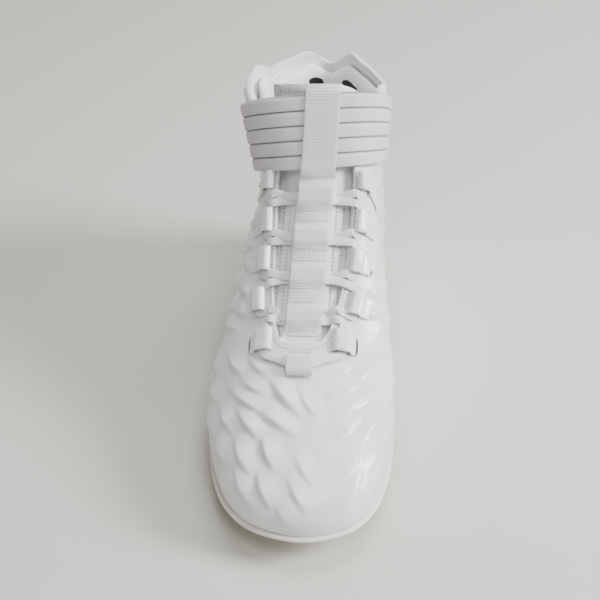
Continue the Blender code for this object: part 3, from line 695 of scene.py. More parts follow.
black_print, tree, shader = start_finish(
    # Silicone printed on knit: near black, with a low sheen broken by the knit under it.
    "silicone_print", "1E1F21", 0.55, {"IOR": 1.43}
)
where = add_node(tree, "ShaderNodeTexCoord").outputs["Object"]
knit = add_node(tree, "ShaderNodeTexNoise", {"Vector": where, "Scale": 900.0})
broken = add_node(
    tree, "ShaderNodeBump", {"Height": knit.outputs["Fac"], "Strength": 0.4, "Distance": 0.0001}
)
tree.links.new(broken.outputs["Normal"], shader.inputs["Normal"])
for number, measures in enumerate(PRINTS, start=1):
    patch = bent_grid(40, 8, lambda a, b, measures=measures: print_shape(a, b, *measures))
    bmesh.ops.recalc_face_normals(patch, faces=patch.faces)
    fit_piece(f"heel_print_{number}", patch, black_print, "lining")


# Tongue
# A foam tongue in brushed tricot, tucked under both sides of the throat, with a mesh binding sewn along its
# outer side above the strap.
TONGUE_THICKNESS = 0.004
TONGUE_SIZE = (0.055, 0.15)
THROAT_SEAMS = (0.0128, 0.0185)
MESH_TOP = 0.62
BINDING_START = 0.72
BINDING_WIDTH = 0.0056
BINDING_OVERHANG = 0.0026
# along, height, centre, half_width, crown, webbing
TONGUE_ROWS = (
    (0.282, 0.308, -0.051, 0.143, 0.016, 0.000),
    (0.310, 0.355, -0.050, 0.181, 0.023, 0.000),
    (0.342, 0.412, -0.048, 0.219, 0.032, 0.000),
    (0.401, 0.518, -0.034, 0.276, 0.059, 0.000),
    (0.458, 0.636, -0.023, 0.290, 0.080, 0.002),
    (0.508, 0.747, -0.012, 0.262, 0.100, 0.007),
    (0.546, 0.860, -0.002, 0.240, 0.116, 0.015),
    (0.572, 0.972, 0.003, 0.225, 0.118, 0.025),
    (0.596, 1.081, 0.005, 0.228, 0.102, 0.034),
    (0.615, 1.163, 0.005, 0.230, 0.085, 0.040),
)
rows = np.array(TONGUE_ROWS)
TONGUE = np.stack(
    (
        rows[:, 2] * BALL_WIDTH,
        rows[:, 0] * LAST_LENGTH,
        PLATE_TOP + rows[:, 1] * ANKLE_HEIGHT,
        rows[:, 3] * BALL_WIDTH,
        rows[:, 4] * ANKLE_HEIGHT,
        rows[:, 5] * BALL_WIDTH,
    ),
    1,
)


def over_tongue(row, aside, lift):
    """The point lift above the tongue's outer face, aside from its middle at each row."""
    row, aside, lift = np.broadcast_arrays(np.asarray(row, float), aside, lift)
    centre, y, z, half_width, crown, _ = np.moveaxis(along_rows(TONGUE, row), -1, 0)
    ahead = along_rows(TONGUE, row + 1e-3) - along_rows(TONGUE, row - 1e-3)
    slope = unit(np.stack((ahead[..., 0] * 0, ahead[..., 1], ahead[..., 2]), -1))
    out = np.stack((slope[..., 0] * 0, -slope[..., 2], slope[..., 1]), -1)
    lean = np.stack((2 * crown * aside / half_width**2, lift * 0, lift * 0), -1)
    fall = crown * (aside / half_width) ** 2
    return np.stack((centre + aside, y, z), -1) - out * fall[..., None] + unit(out + lean) * lift[..., None]


def tongue_shape(a, b):
    """The tongue's outer face, drawn in along its seams and edges."""
    rounding = 0.055 * (1 - np.sqrt(1 - np.clip((a - 0.62) / 0.38, 0, 1) ** 2)) * ramp(b, 0.8, 1.0)
    row = (b - rounding) * (len(TONGUE) - 1)
    half_width = along_rows(TONGUE, row)[:, 3]
    aside = (2 * a - 1) * half_width
    from_side = (half_width - np.abs(aside)) / 0.004
    from_top = (1 - b) / 0.03
    edge = (1 - np.clip(np.minimum(from_side, from_top), 0, 1)) ** 2 * 0.0010
    in_throat = 1 - ramp(b, MESH_TOP, MESH_TOP + 0.04)
    for beside in THROAT_SEAMS:
        edge = edge + np.exp(-(((np.abs(aside) - beside) / 0.0005) ** 2)) * 0.0006 * in_throat
    beside_binding = ramp(b, BINDING_START, BINDING_START + 0.04)
    seam = np.exp(-(((aside + half_width - 0.0065) / 0.0006) ** 2)) * beside_binding * 0.0007
    top_seam = np.exp(-(((1 - b - 0.045) / 0.004) ** 2)) * 0.0004
    return over_tongue(row, aside, -edge - seam - top_seam)


tongue = bent_grid(72, 170, tongue_shape, size=TONGUE_SIZE)
weave = tongue.loops.layers.uv["flat_size"]
for face in tongue.faces:
    a, b = sum((loop[weave].uv for loop in face.loops), Vector((0.0, 0.0))) / len(face.loops)
    half_width = float(along_rows(TONGUE, np.array(b / TONGUE_SIZE[1] * (len(TONGUE) - 1)))[3])
    aside = abs(2 * a / TONGUE_SIZE[0] - 1) * half_width
    if b < MESH_TOP * TONGUE_SIZE[1] and aside > THROAT_SEAMS[0]:
        face.material_index = 1
tongue = fit_piece("padded_tongue", tongue, lining_knit, "lining", "tongue")
tongue.data.materials.append(spacer_mesh)
add_wall(tongue, TONGUE_THICKNESS - 0.0012, -1)
round_edges(tongue, 0.0012, segments=3)


def binding_shape(a, b):
    """The binding's outer face, which hangs over the tongue's outer side."""
    row = (BINDING_START + 0.278 * b) * (len(TONGUE) - 1)
    half_width = along_rows(TONGUE, row)[:, 3]
    crown = 0.00025 * (1 - (2 * a - 1) ** 2) ** 0.5
    return over_tongue(row, -half_width - BINDING_OVERHANG + BINDING_WIDTH * a, 0.00010 + crown)


binding = bent_grid(8, 80, binding_shape, size=(BINDING_WIDTH, 0.05))
binding = fit_piece("mesh_binding", binding, spacer_mesh, "lining")
add_wall(binding, 0.0009, -1)


# Webbing down the tongue
# Ribbed polyester webbing, 20 mm wide, sewn to the tongue between the laces and carried over each lace and
# over the strap. Its ribs run across it.
LACE_HEIGHT = 0.0030
WEBBING_WIDTH = 0.020
WEBBING_THICKNESS = 0.0012
WEBBING_RIB = 0.0017
STITCHED_LIFT = 0.0016
CARRIED_LIFT = LACE_HEIGHT + 0.0002
CARRIED_HALF = 0.0016
CARRIED_SLOPE = 0.0046
UNDER_STRAP = (0.549, 0.607)
CROSSING_ROWS = (0.5217, 0.4703, 0.4179, 0.3596)
WEBBING_START = 0.330 * LAST_LENGTH
WEBBING_STOP = TONGUE_ROWS[-1][0] * LAST_LENGTH
ROW_STEPS = np.linspace(0, len(TONGUE) - 1, 2000)
TONGUE_LINE = along_rows(TONGUE, ROW_STEPS)[:, :3]


def run_along(line):
    """The distance along a line of points at each of them."""
    return np.concatenate(((0.0,), np.cumsum(np.linalg.norm(np.diff(line, axis=0), axis=1))))


TONGUE_RUN = run_along(TONGUE_LINE)
first_run, last_run = np.interp((WEBBING_START, WEBBING_STOP), TONGUE_LINE[:, 1], TONGUE_RUN)
WEBBING_LENGTH = float(last_run - first_run)


def tongue_row(y):
    """The tongue's row at which its middle reaches y."""
    return np.interp(y, TONGUE_LINE[:, 1], ROW_STEPS)


def webbing_carried(y):
    """From 0 where the webbing is sewn down to 1 where a lace or the strap carries it."""
    off = np.min([np.abs(y - row * LAST_LENGTH) for row in CROSSING_ROWS], axis=0) - CARRIED_HALF
    over_strap = np.maximum(UNDER_STRAP[0] * LAST_LENGTH - y, y - UNDER_STRAP[1] * LAST_LENGTH)
    return 1 - ramp(np.minimum(off, over_strap), 0.0, CARRIED_SLOPE)


def on_webbing(a, b, lift):
    """A point lift above the webbing's under face, a across it and b along its real length."""
    row = np.interp(first_run + WEBBING_LENGTH * b, TONGUE_RUN, ROW_STEPS)
    here = along_rows(TONGUE, row)
    x = here[..., 5] + (2 * a - 1) * WEBBING_WIDTH / 2
    carried = webbing_carried(here[..., 1])
    base = STITCHED_LIFT + (CARRIED_LIFT - STITCHED_LIFT) * carried + lift
    curved = over_tongue(row, x, base)
    level = over_tongue(row, 0.0, base)
    level[..., 0] += x
    return curved + (level - curved) * carried[..., None]


def webbing_shape(a, b):
    """The webbing's outer face, ribbed between its two selvedges."""
    rib = np.abs(np.sin(math.pi * b * WEBBING_LENGTH / WEBBING_RIB)) ** 0.7
    selvedge = ramp(np.minimum(a, 1 - a), 0.02, 0.09)
    return on_webbing(a, b, 0.00102 + 0.00018 * rib * selvedge)


polyester_webbing, tree, shader = start_finish(
    # Woven polyester: matt lilac-white, each rib crossed by warp threads 0.7 mm apart.
    "polyester_webbing", "EAE9EC", 0.82, {"Sheen Weight": 0.25}
)
flat = add_node(tree, "ShaderNodeUVMap", uv_map="flat_size").outputs["UV"]
warp = add_node(tree, "ShaderNodeTexWave", {"Vector": flat, "Scale": 450.0, "Distortion": 0.6, "Detail": 1.0})
weft = add_node(
    tree, "ShaderNodeTexWave", {"Vector": flat, "Scale": 370.0, "Distortion": 0.4}, bands_direction="Y"
)
weave = add_node(
    tree, "ShaderNodeMath", {0: warp.outputs["Fac"], 1: weft.outputs["Fac"]}, operation="MULTIPLY"
)
shade = add_node(
    tree,
    "ShaderNodeMix",
    {"Factor": weave.outputs[0], 6: linear("E5E4E8"), 7: linear("EFEEF1")},
    data_type="RGBA",
)
tree.links.new(shade.outputs[2], shader.inputs["Base Color"])
threads = add_node(tree, "ShaderNodeBump", {"Height": weave.outputs[0], "Strength": 0.5, "Distance": 0.0002})
tree.links.new(threads.outputs["Normal"], shader.inputs["Normal"])

webbing = bent_grid(20, 460, webbing_shape, size=(WEBBING_WIDTH, WEBBING_LENGTH))
webbing = fit_piece("ribbed_webbing", webbing, polyester_webbing, "webbing", "tongue_spine")
add_wall(webbing, 0.0008, -1)
round_edges(webbing, 0.0003)


# Ankle strap
# One wide elastic band with five raised ribs, woven with narrow sunk lines between them, which goes over the
# tongue under the webbing and back round both sides, where its ends are sewn down.
STRAP_CENTRE = (-0.027 * BALL_WIDTH, 0.738 * LAST_LENGTH)
STRAP_HALF_WIDTH = 0.419 * BALL_WIDTH
STRAP_FRONT = 0.171 * LAST_LENGTH
STRAP_BACK = 0.247 * LAST_LENGTH
STRAP_WIDTH = 0.042
STRAP_THICKNESS = 0.0026
STRAP_RIBS = 5
STRAP_GROOVE = 0.0013
STRAP_SQUARENESS = 2.9
STRAP_FRONT_HEIGHT = PLATE_TOP + 1.005 * ANKLE_HEIGHT
STRAP_TILT = 0.556
STRAP_ROLL = 0.075
STRAP_FLARE = 0.13
STRAP_RISE = 0.92
STRAP_RAKE, STRAP_FRONT_RAKE = 0.26, 0.16
STRAP_OUTSIDE = 0.8
STRAP_END = math.radians(126)
STRAP_DRIFT = 0.027 * BALL_WIDTH
STRAP_LEAN = ((0.0120, math.radians(62)), (0.0046, math.radians(92)))


def strap_at(angle, rise, lift):
    """A point of the strap: angle from its front, rise across it from -0.5 to 0.5, lift off its inside."""
    side, front = np.sin(angle), np.cos(angle)
    reach = np.where(front > 0, STRAP_FRONT, STRAP_BACK)
    power = 2 / STRAP_SQUARENESS
    bulge_x = np.sign(side) * np.abs(side) ** power
    bulge_y = np.sign(front) * np.abs(front) ** power
    half_width = STRAP_HALF_WIDTH * (1 + STRAP_FLARE * rise) - STRAP_THICKNESS + lift
    x = STRAP_CENTRE[0] - STRAP_DRIFT * rise + half_width * bulge_x
    lean = STRAP_RAKE + np.where(front > 0, STRAP_FRONT_RAKE, 0.0) * np.abs(bulge_y)
    y = STRAP_CENTRE[1] - (reach - STRAP_THICKNESS + lift) * bulge_y + rise * STRAP_WIDTH * lean
    fall = STRAP_FRONT - reach * bulge_y
    z = STRAP_FRONT_HEIGHT - STRAP_TILT * fall + rise * STRAP_WIDTH * STRAP_RISE + x * STRAP_ROLL
    outer, inner = (most * ramp(np.abs(angle), start, STRAP_END) for most, start in STRAP_LEAN)
    inwards = np.where(side < 0, outer, inner) * (rise + 0.5)
    return np.stack((x - np.sign(side) * inwards, y, z), -1)


def strap_shape(a, b):
    """Round the band's section, outer face first, and along it from its outer end to its inner one."""
    outside = a < STRAP_OUTSIDE
    share = np.where(outside, a / STRAP_OUTSIDE, (1 - a) / (1 - STRAP_OUTSIDE))
    rise = share - 0.5
    in_rib = share * STRAP_RIBS - np.floor(np.clip(share * STRAP_RIBS, 0, STRAP_RIBS - 1e-6))
    groove = np.abs(2 * in_rib - 1) ** 7 * STRAP_GROOVE
    edge = np.exp(-np.minimum(share, 1 - share) / 0.012) * 0.0004
    end = (1 - np.clip(np.minimum(b, 1 - b) / 0.012, 0, 1)) ** 2 * 0.0006
    lift = np.where(outside, STRAP_THICKNESS - groove - edge - end, 0.00003 + edge * 0.4)
    return strap_at(-STRAP_END + 2 * STRAP_END * b, rise, lift)


woven_elastic, tree, shader = start_finish(
    # Woven elastic: matt lilac-white with fine courses across the band, about 1.2 mm apart, and painted shade
    # in the sunk lines, which are coloured dark grey.
    "woven_elastic", "DAD7DC", 0.80, {"Sheen Weight": 0.3}
)
flat = add_node(tree, "ShaderNodeUVMap", uv_map="flat_size").outputs["UV"]
across = add_node(tree, "ShaderNodeSeparateXYZ", {"Vector": flat}).outputs["X"]
zigzag = add_node(
    tree, "ShaderNodeTexWave", {"Vector": flat, "Scale": 320.0, "Distortion": 0.0}, bands_direction="Y"
)
ribs_of = add_node(
    tree, "ShaderNodeMath", {0: across, 1: STRAP_RIBS / STRAP_WIDTH}, operation="MULTIPLY"
)
in_rib = add_node(tree, "ShaderNodeMath", {0: ribs_of.outputs[0]}, operation="FRACT")
half = add_node(tree, "ShaderNodeMath", {0: in_rib.outputs[0], 1: 0.5}, operation="PINGPONG")
ragged = add_node(
    tree, "ShaderNodeMath", {0: zigzag.outputs["Fac"], 1: 0.05, 2: half.outputs[0]}, operation="MULTIPLY_ADD"
)
lines = add_node(
    tree, "ShaderNodeMapRange", {"Value": ragged.outputs[0], "From Min": 0.055, "From Max": 0.10}
)
# painted shade: the sunk lines between the ribs are coloured dark grey
shade = add_node(
    tree,
    "ShaderNodeMix",
    {"Factor": lines.outputs["Result"], 6: linear("85838C"), 7: linear("DAD7DC")},
    data_type="RGBA",
)
tree.links.new(shade.outputs[2], shader.inputs["Base Color"])
wales = add_node(
    tree, "ShaderNodeTexWave", {"Vector": flat, "Scale": 500.0, "Distortion": 0.5, "Detail": 1.0}
)
weave = add_node(tree, "ShaderNodeMath", {0: wales.outputs["Fac"], 1: zigzag.outputs["Fac"]}, operation="ADD")
threads = add_node(
    tree, "ShaderNodeBump", {"Height": weave.outputs[0], "Strength": 0.45, "Distance": 0.00018}
)
tree.links.new(threads.outputs["Normal"], shader.inputs["Normal"])

strap = bent_grid(150, 260, strap_shape, size=(STRAP_WIDTH / STRAP_OUTSIDE, 0.235))
bmesh.ops.holes_fill(strap, edges=[edge for edge in strap.edges if edge.is_boundary], sides=0)
bmesh.ops.recalc_face_normals(strap, faces=strap.faces)
strap = fit_piece("elastic_ankle_strap", strap, woven_elastic, "elastic_strap", "ankle_strap")


# Lace loops
# Five folded bands of the upper's glossy film on each side of the throat, sewn under its edge and arched over
# the lace. Each ends in a flat tab, outlined by a dark sheet of painted shadow where the film goes through
# the upper.
LOOP_ACROSS = 0.0135
LOOP_ALONG = 0.0146
LOOP_THICKNESS = 0.0014
LOOP_RISE = 0.0034
PROBE = 0.002
SLIT_WIDTH = 0.0015
# along, length, outer_gap, inner_gap, turned, fold
LOOP_ROWS = (
    (0.549, 0.72, 0.008, 0.008, 1.0, 0.62),
    (0.499, 1.00, 0.008, 0.008, 1.0, 0.62),
    (0.445, 1.00, 0.014, 0.008, 1.0, 0.62),
    (0.387, 1.00, 0.038, 0.048, 1.0, 0.70),
    (0.316, 0.98, 0.036, 0.050, 0.0, 0.88),
)
EDGE_STEPS = np.linspace(1, 9, 1600)
EDGE_Y = {
    OUTER: upper_at(EDGE_STEPS, np.ones_like(EDGE_STEPS))[:, 1],
    INNER: upper_at(RING - EDGE_STEPS, np.ones_like(EDGE_STEPS))[:, 1],
}


def throat_edge(y, side):
    """The point of the opening's edge at y, on one side of the throat."""
    step = np.interp(y, EDGE_Y[side], EDGE_STEPS)
    return upper_at(step if side == OUTER else RING - step, np.ones_like(step))


def place_over(x, y):
    """Where on the upper's outer face the point x, y lies."""
    x, y = np.broadcast_arrays(np.asarray(x, float), y)
    place = np.where(x < STATIONS[0][6] * BALL_WIDTH, 3.0, RING - 3.0)
    up = np.full(place.shape, 0.92)
    for _ in range(24):
        here = upper_at(place, up)
        round_it = (upper_at(place + 1e-4, up) - here) / 1e-4
        up_it = (upper_at(place, up + 1e-4) - here) / 1e-4
        off_x, off_y = x - here[..., 0], y - here[..., 1]
        area = round_it[..., 0] * up_it[..., 1] - up_it[..., 0] * round_it[..., 1]
        place = place + np.clip((off_x * up_it[..., 1] - off_y * up_it[..., 0]) / area, -1.0, 1.0)
        up = up + np.clip((off_y * round_it[..., 0] - off_x * round_it[..., 1]) / area, -0.1, 0.1)
    return place, up


def over_upper(x, y, lift):
    """The point lift above the upper's smooth outer face, over x, y."""
    place, up = place_over(x, y)
    return upper_at(place, up) + facing(upper_at, place, up) * np.asarray(lift)[..., None]


def throat_slope(y, side):
    """The direction of the throat's edge at y."""
    return unit(throat_edge(y + PROBE, side) - throat_edge(y - PROBE, side))


def arch(share):
    """The height of a loop over its two feet, as a share."""
    return 1 - np.abs(2 * share - 1) ** 4.5


def loop_frame(number, side):
    """Where a loop starts on the opening's edge, its two directions, its length and its gap to the edge."""
    along, length, outer_gap, inner_gap, turned, _ = LOOP_ROWS[number]
    y = along * LAST_LENGTH
    gap = (outer_gap if side == OUTER else inner_gap) * BALL_WIDTH
    edge = throat_edge(y, side)
    beside = edge[0] + side * gap
    ahead = unit(over_upper(beside, y + PROBE, 0.0) - over_upper(beside, y, 0.0))
    slope = unit(ahead + (throat_slope(y, side) - ahead) * turned)
    below = over_upper(edge[0] + side * PROBE, edge[1], 0.0) - edge
    aside = unit(below - slope * below.dot(slope))
    return edge, slope, aside, LOOP_ALONG * length, gap


def on_loop(number, side, a, b, lift):
    """A point of a loop: a along the throat, b out from the opening, lift off its under face."""
    edge, slope, aside, length, gap = loop_frame(number, side)
    a, b, lift = np.broadcast_arrays(np.asarray(a, float), b, lift)
    flat = edge + slope * ((0.5 - a) * length * side)[..., None] + aside * (gap + b * LOOP_ACROSS)[..., None]
    fold = np.clip(b / LOOP_ROWS[number][5], 0, 1)
    return over_upper(flat[..., 0], flat[..., 1], CLEARANCE + LOOP_RISE * arch(fold) + lift)


def loop_shape(a, b, number, side):
    """A loop's outer face: rounded over its two folded edges, slack in the middle."""
    folded = np.abs(2 * a - 1) ** 9 * 0.0005
    slack = np.sin(math.pi * a) * np.sin(math.pi * b) * 0.0002 * math.sin(number * 2.1 + side)
    return on_loop(number, side, a, b, LOOP_THICKNESS - 0.0001 - folded - slack)


def slit_shape(a, b, number, side):
    """A dark sheet of painted shadow beside a loop's outer foot, on the upper, narrowing to its ends."""
    edge, slope, aside, length, gap = loop_frame(number, side)
    reach = gap + LOOP_ACROSS * 1.01 + SLIT_WIDTH * b * np.sqrt(np.clip(1 - (2 * a - 1) ** 2, 0, 1))
    flat = edge + slope * ((0.5 - a) * length * 0.94 * side)[:, None] + aside * reach[:, None]
    return over_upper(flat[:, 0], flat[:, 1], 0.0002 * np.ones_like(a))


folded_film, tree, shader = start_finish(
    # Folded polyurethane film: glossier than the moulded upper, with faint creases across the fold.
    "folded_film", "EDECED", 0.27, {"IOR": 1.5, "Coat Weight": 0.35, "Coat Roughness": 0.15}
)
flat = add_node(tree, "ShaderNodeUVMap", uv_map="flat_size").outputs["UV"]
creases = add_node(tree, "ShaderNodeTexNoise", {"Vector": flat, "Scale": 260.0, "Detail": 4.0})
gloss = add_node(
    tree, "ShaderNodeMapRange", {"Value": creases.outputs["Fac"], "To Min": 0.20, "To Max": 0.36}
)
tree.links.new(gloss.outputs["Result"], shader.inputs["Roughness"])
skin = add_node(
    tree, "ShaderNodeBump", {"Height": creases.outputs["Fac"], "Strength": 0.35, "Distance": 0.00025}
)
tree.links.new(skin.outputs["Normal"], shader.inputs["Normal"])

slit_shadow, tree, shader = start_finish(
    # Painted shadow in the slit beside a loop's foot: a dark sheet, fully matt.
    "painted_slit_shadow", "4C4B4E", 0.95
)
where = add_node(tree, "ShaderNodeTexCoord").outputs["Object"]
cells = add_node(tree, "ShaderNodeTexNoise", {"Vector": where, "Scale": 1500.0})
rough = add_node(
    tree, "ShaderNodeBump", {"Height": cells.outputs["Fac"], "Strength": 0.6, "Distance": 0.0001}
)
tree.links.new(rough.outputs["Normal"], shader.inputs["Normal"])

def turn_faces(made, way):
    """Turns a sheet's faces round where most of them look away from the way given."""
    if sum(face.normal.dot(way) for face in made.faces) < 0:
        bmesh.ops.reverse_faces(made, faces=made.faces)


UPWARDS = Vector((0, 0, 1))
for side, label in ((OUTER, "outer"), (INNER, "inner")):
    for number in range(len(LOOP_ROWS)):
        band = bent_grid(
            22,
            34,
            lambda a, b, number=number, side=side: loop_shape(a, b, number, side),
            size=(LOOP_ALONG, LOOP_ACROSS),
        )
        bmesh.ops.recalc_face_normals(band, faces=band.faces)
        turn_faces(band, UPWARDS)
        node = f"lace_loop_{label}_{number + 1}"
        band = fit_piece(f"folded_loop_{label}_{number + 1}", band, folded_film, "moulded_upper", node)
        add_wall(band, LOOP_THICKNESS - 0.0002, -1)
        round_edges(band, 0.00045, segments=3)
        if number == 0:
            continue
        slit = bent_grid(12, 4, lambda a, b, number=number, side=side: slit_shape(a, b, number, side))
        turn_faces(slit, UPWARDS)
        # painted shadow: a dark sheet laid in the slit beside the loop's outer foot
        fit_piece(f"loop_slit_shadow_{label}_{number + 1}", slit, slit_shadow, "moulded_upper")


# Vamp loop
# A short length of finely ribbed webbing, folded over the lowest bar of the lace and sewn flat at both ends.
# Its yarn is that of the tongue's webbing.
VAMP_LOOP_WIDTH = 0.0145
VAMP_LOOP_LENGTH = 0.0125
VAMP_LOOP_START = STATIONS[0][4] * LAST_LENGTH - 0.0062
VAMP_MIDDLE = STATIONS[0][6] * BALL_WIDTH
VAMP_LOOP_RIBS = 9


def vamp_loop_shape(a, b):
    """The vamp loop's outer face, arched over the lace."""
    x = VAMP_MIDDLE + (2 * a - 1) * VAMP_LOOP_WIDTH / 2
    y = VAMP_LOOP_START - b * VAMP_LOOP_LENGTH
    rib = 0.00012 * np.abs(np.sin(math.pi * b * VAMP_LOOP_RIBS)) ** 0.7
    return over_upper(x, y, CLEARANCE + LOOP_RISE * arch(b) + WEBBING_THICKNESS - 0.00012 + rib)


band = bent_grid(16, 120, vamp_loop_shape, size=(VAMP_LOOP_WIDTH, VAMP_LOOP_LENGTH))
turn_faces(band, UPWARDS)
vamp_loop = fit_piece("vamp_webbing_loop", band, polyester_webbing, "webbing", "vamp_loop")
add_wall(vamp_loop, WEBBING_THICKNESS - 0.0002, -1)
round_edges(vamp_loop, 0.0003)


# Lace
# One flat woven lace, 4.7 mm wide, that criss-crosses from loop to loop under the webbing and through the
# vamp loop. Both of its ends go in under the strap.
LACE_WIDTH = 0.0047
LACE_THICKNESS = 0.0012
CROSSING_EDGES = (0.5275, 0.4752, 0.4178, 0.3606)
LACE_SPREAD = 0.0028
LACE_BED = 0.0005
LOOP_SHARES = (-0.05, 0.25, 0.75, 1.05)
EDGE_REACHES = ((0.0040, 0.0), (0.0004, 0.0005))
SPINE_REACHES = (0.66, 0.44)
SPREAD_KEPT = 0.35
CROSSING_DROP = 0.0012
OVER_BED, UNDER_BED = 1.55, 0.5


def laid_on_upper(x, y, lift=0.0):
    """The lace's middle where it lies on the upper over x, y, and the upper's normal there."""
    place, up = place_over(x, y)
    normal = facing(upper_at, place, up)
    return upper_at(place, up) + normal * (LACE_BED + LACE_THICKNESS / 2 + lift), normal


def laid_on_tongue(row, aside, bed):
    """The lace's middle where it lies bed above the tongue, and the tongue's normal there."""
    here = over_tongue(row, aside, bed)
    return here, unit(here - over_tongue(row, aside, bed - 0.001))


def loop_pass(number, side):
    """The lace's way through a loop, from its upper end to its lower one."""
    edge, slope, aside, length, gap = loop_frame(number, side)
    reach = gap + LOOP_ROWS[number][5] / 2 * LOOP_ACROSS
    found = []
    for share in LOOP_SHARES[::side]:
        flat = edge + slope * (0.5 - share) * length * side + aside * reach
        found.append(laid_on_upper(flat[0], flat[1]))
    return found


def crossing(number, side, over):
    """The lace's way under the webbing, from one side of the throat down to the other."""
    bed = LACE_BED + LACE_THICKNESS * (OVER_BED if over else UNDER_BED)
    middle = CROSSING_ROWS[number] * LAST_LENGTH
    y = CROSSING_EDGES[number] * LAST_LENGTH
    halves = []
    for at, step in ((side, 1), (-side, -1)):
        edge = throat_edge(y, at)
        shift = throat_slope(y, at)[1] * LACE_SPREAD * step
        row = tongue_row(middle + shift * SPREAD_KEPT - CROSSING_DROP)
        half = [laid_on_upper(edge[0] + at * reach, edge[1] + shift, lift) for reach, lift in EDGE_REACHES]
        half += [laid_on_tongue(row, at * WEBBING_WIDTH * reach, bed) for reach in SPINE_REACHES]
        halves.append(half)
    return halves[0] + [laid_on_tongue(tongue_row(middle - CROSSING_DROP), 0.0, bed)] + halves[1][::-1]


def strand(start_side, over):
    """One half of the lace, from its hidden top end down to the lowest loop."""
    found = []
    side = start_side
    for number in range(len(LOOP_ROWS)):
        found += loop_pass(number, side)
        if number < len(CROSSING_ROWS):
            found += crossing(number, side, over)
        side, over = -side, not over
    return found


TOE_BAR = (
    # aside from the vamp loop's middle, forward of it, lift
    (-0.0185, -0.0060, 0.0002),
    (-0.0130, -0.0036, 0.0003),
    (-0.0070, -0.0010, 0.0007),
    (0.0, 0.0, 0.0011),
    (0.0070, -0.0010, 0.0007),
    (0.0130, -0.0036, 0.0003),
    (0.0185, -0.0060, 0.0002),
)
BAR_MIDDLE = VAMP_LOOP_START - VAMP_LOOP_LENGTH / 2
bar = [laid_on_upper(VAMP_MIDDLE + aside, BAR_MIDDLE - forward, lift) for aside, forward, lift in TOE_BAR]
LACE_WAY = strand(OUTER, True) + bar + strand(INNER, False)[::-1]
LACE_KEYS = np.array([point for point, _ in LACE_WAY])
LACE_NORMALS = np.array([normal for _, normal in LACE_WAY])
key_run = run_along(LACE_KEYS)
LACE_LENGTH = float(key_run[-1])


def lace_shape(a, b):
    """A flat oval section, a round it and b along the whole lace."""
    key = np.interp(b * LACE_LENGTH, key_run, np.arange(len(key_run)))
    middle = along_rows(LACE_KEYS, key)
    run = unit(along_rows(LACE_KEYS, key + 0.02) - along_rows(LACE_KEYS, key - 0.02))
    normal = along_rows(LACE_NORMALS, key)
    normal = unit(normal - run * np.sum(normal * run, axis=-1, keepdims=True))
    across = np.cross(normal, run)
    turn = 2 * math.pi * a
    wide = np.sign(np.cos(turn)) * np.abs(np.cos(turn)) ** 0.6 * LACE_WIDTH / 2
    thick = np.sign(np.sin(turn)) * np.abs(np.sin(turn)) ** 0.6 * LACE_THICKNESS / 2
    return middle + across * wide[:, None] + normal * thick[:, None]


woven_lace, tree, shader = start_finish(
    # Flat tubular polyester weave: matt white, with chevrons 1.3 mm apart.
    "woven_lace", "E6E5E8", 0.85, {"Sheen Weight": 0.25}
)
flat = add_node(tree, "ShaderNodeUVMap", uv_map="flat_size").outputs["UV"]
parts = add_node(tree, "ShaderNodeSeparateXYZ", {"Vector": flat})
mirrored = add_node(tree, "ShaderNodeMath", {0: parts.outputs["X"], 1: LACE_WIDTH / 2}, operation="PINGPONG")
slanted = add_node(tree, "ShaderNodeMath", {0: mirrored.outputs[0], 1: parts.outputs["Y"]}, operation="ADD")
chevron = add_node(tree, "ShaderNodeCombineXYZ", {"X": slanted.outputs[0]})
braid = add_node(tree, "ShaderNodeTexWave", {"Vector": chevron.outputs[0], "Scale": 240.0, "Distortion": 0.0})
shade = add_node(
    tree,
    "ShaderNodeMix",
    {"Factor": braid.outputs["Fac"], 6: linear("E1E0E4"), 7: linear("EFEEF0")},
    data_type="RGBA",
)
tree.links.new(shade.outputs[2], shader.inputs["Base Color"])
threads = add_node(
    tree, "ShaderNodeBump", {"Height": braid.outputs["Fac"], "Strength": 0.3, "Distance": 0.00015}
)
tree.links.new(threads.outputs["Normal"], shader.inputs["Normal"])

lace = bent_grid(24, 1500, lace_shape, size=(2 * (LACE_WIDTH + LACE_THICKNESS), LACE_LENGTH))
bmesh.ops.holes_fill(lace, edges=[edge for edge in lace.edges if edge.is_boundary], sides=0)
bmesh.ops.recalc_face_normals(lace, faces=lace.faces)
crossings = [f"lace_crossing_{number}" for number in range(1, 5)]
lace = fit_piece("flat_lace", lace, woven_lace, "lace", *crossings, "lace_toe_bar")


# Heel tape
# A strip of the loops' film that covers the back seam of the upper.
# It is stitched along both sides.
HEEL_TAPE_SIZE = (0.014, 0.1)
HEEL_TAPE_HALF = 0.32


def heel_tape_shape(a, b):
    """The tape's outer face, 0.5 mm off the upper."""
    up = 0.06 + 0.93 * b
    place = HEEL + HEEL_TAPE_HALF * (1 - 2 * a)
    return upper_at(place, up) + facing(upper_at, place, up) * 0.0005


tape = bent_grid(16, 60, heel_tape_shape, size=HEEL_TAPE_SIZE)
bmesh.ops.recalc_face_normals(tape, faces=tape.faces)
turn_faces(tape, Vector((0, 1, 0)))
tape = fit_piece("heel_tape", tape, folded_film, "moulded_upper")
add_wall(tape, 0.0005, -1)
round_edges(tape, 0.0002)


# Notch panel
# A tab of the loops' film under the foot of the throat, which fills the notch between its sides. It is tucked
# under the upper's edge.
def notch_shape(a, b):
    """The tab's outer face, which dips under the upper's edge."""
    place = 2.3 * (2 * a - 1)
    up = 0.985 + 0.10 * b
    dip = 0.0019 * ramp(b, 0.0, 0.25)
    return upper_at(-place, up) - facing(upper_at, -place, np.minimum(up, 1.0)) * (0.0006 + dip)[:, None]


panel = bent_grid(60, 14, notch_shape)
turn_faces(panel, UPWARDS)
panel = fit_piece("notch_panel", panel, folded_film, "moulded_upper")
add_wall(panel, 0.0006, -1)


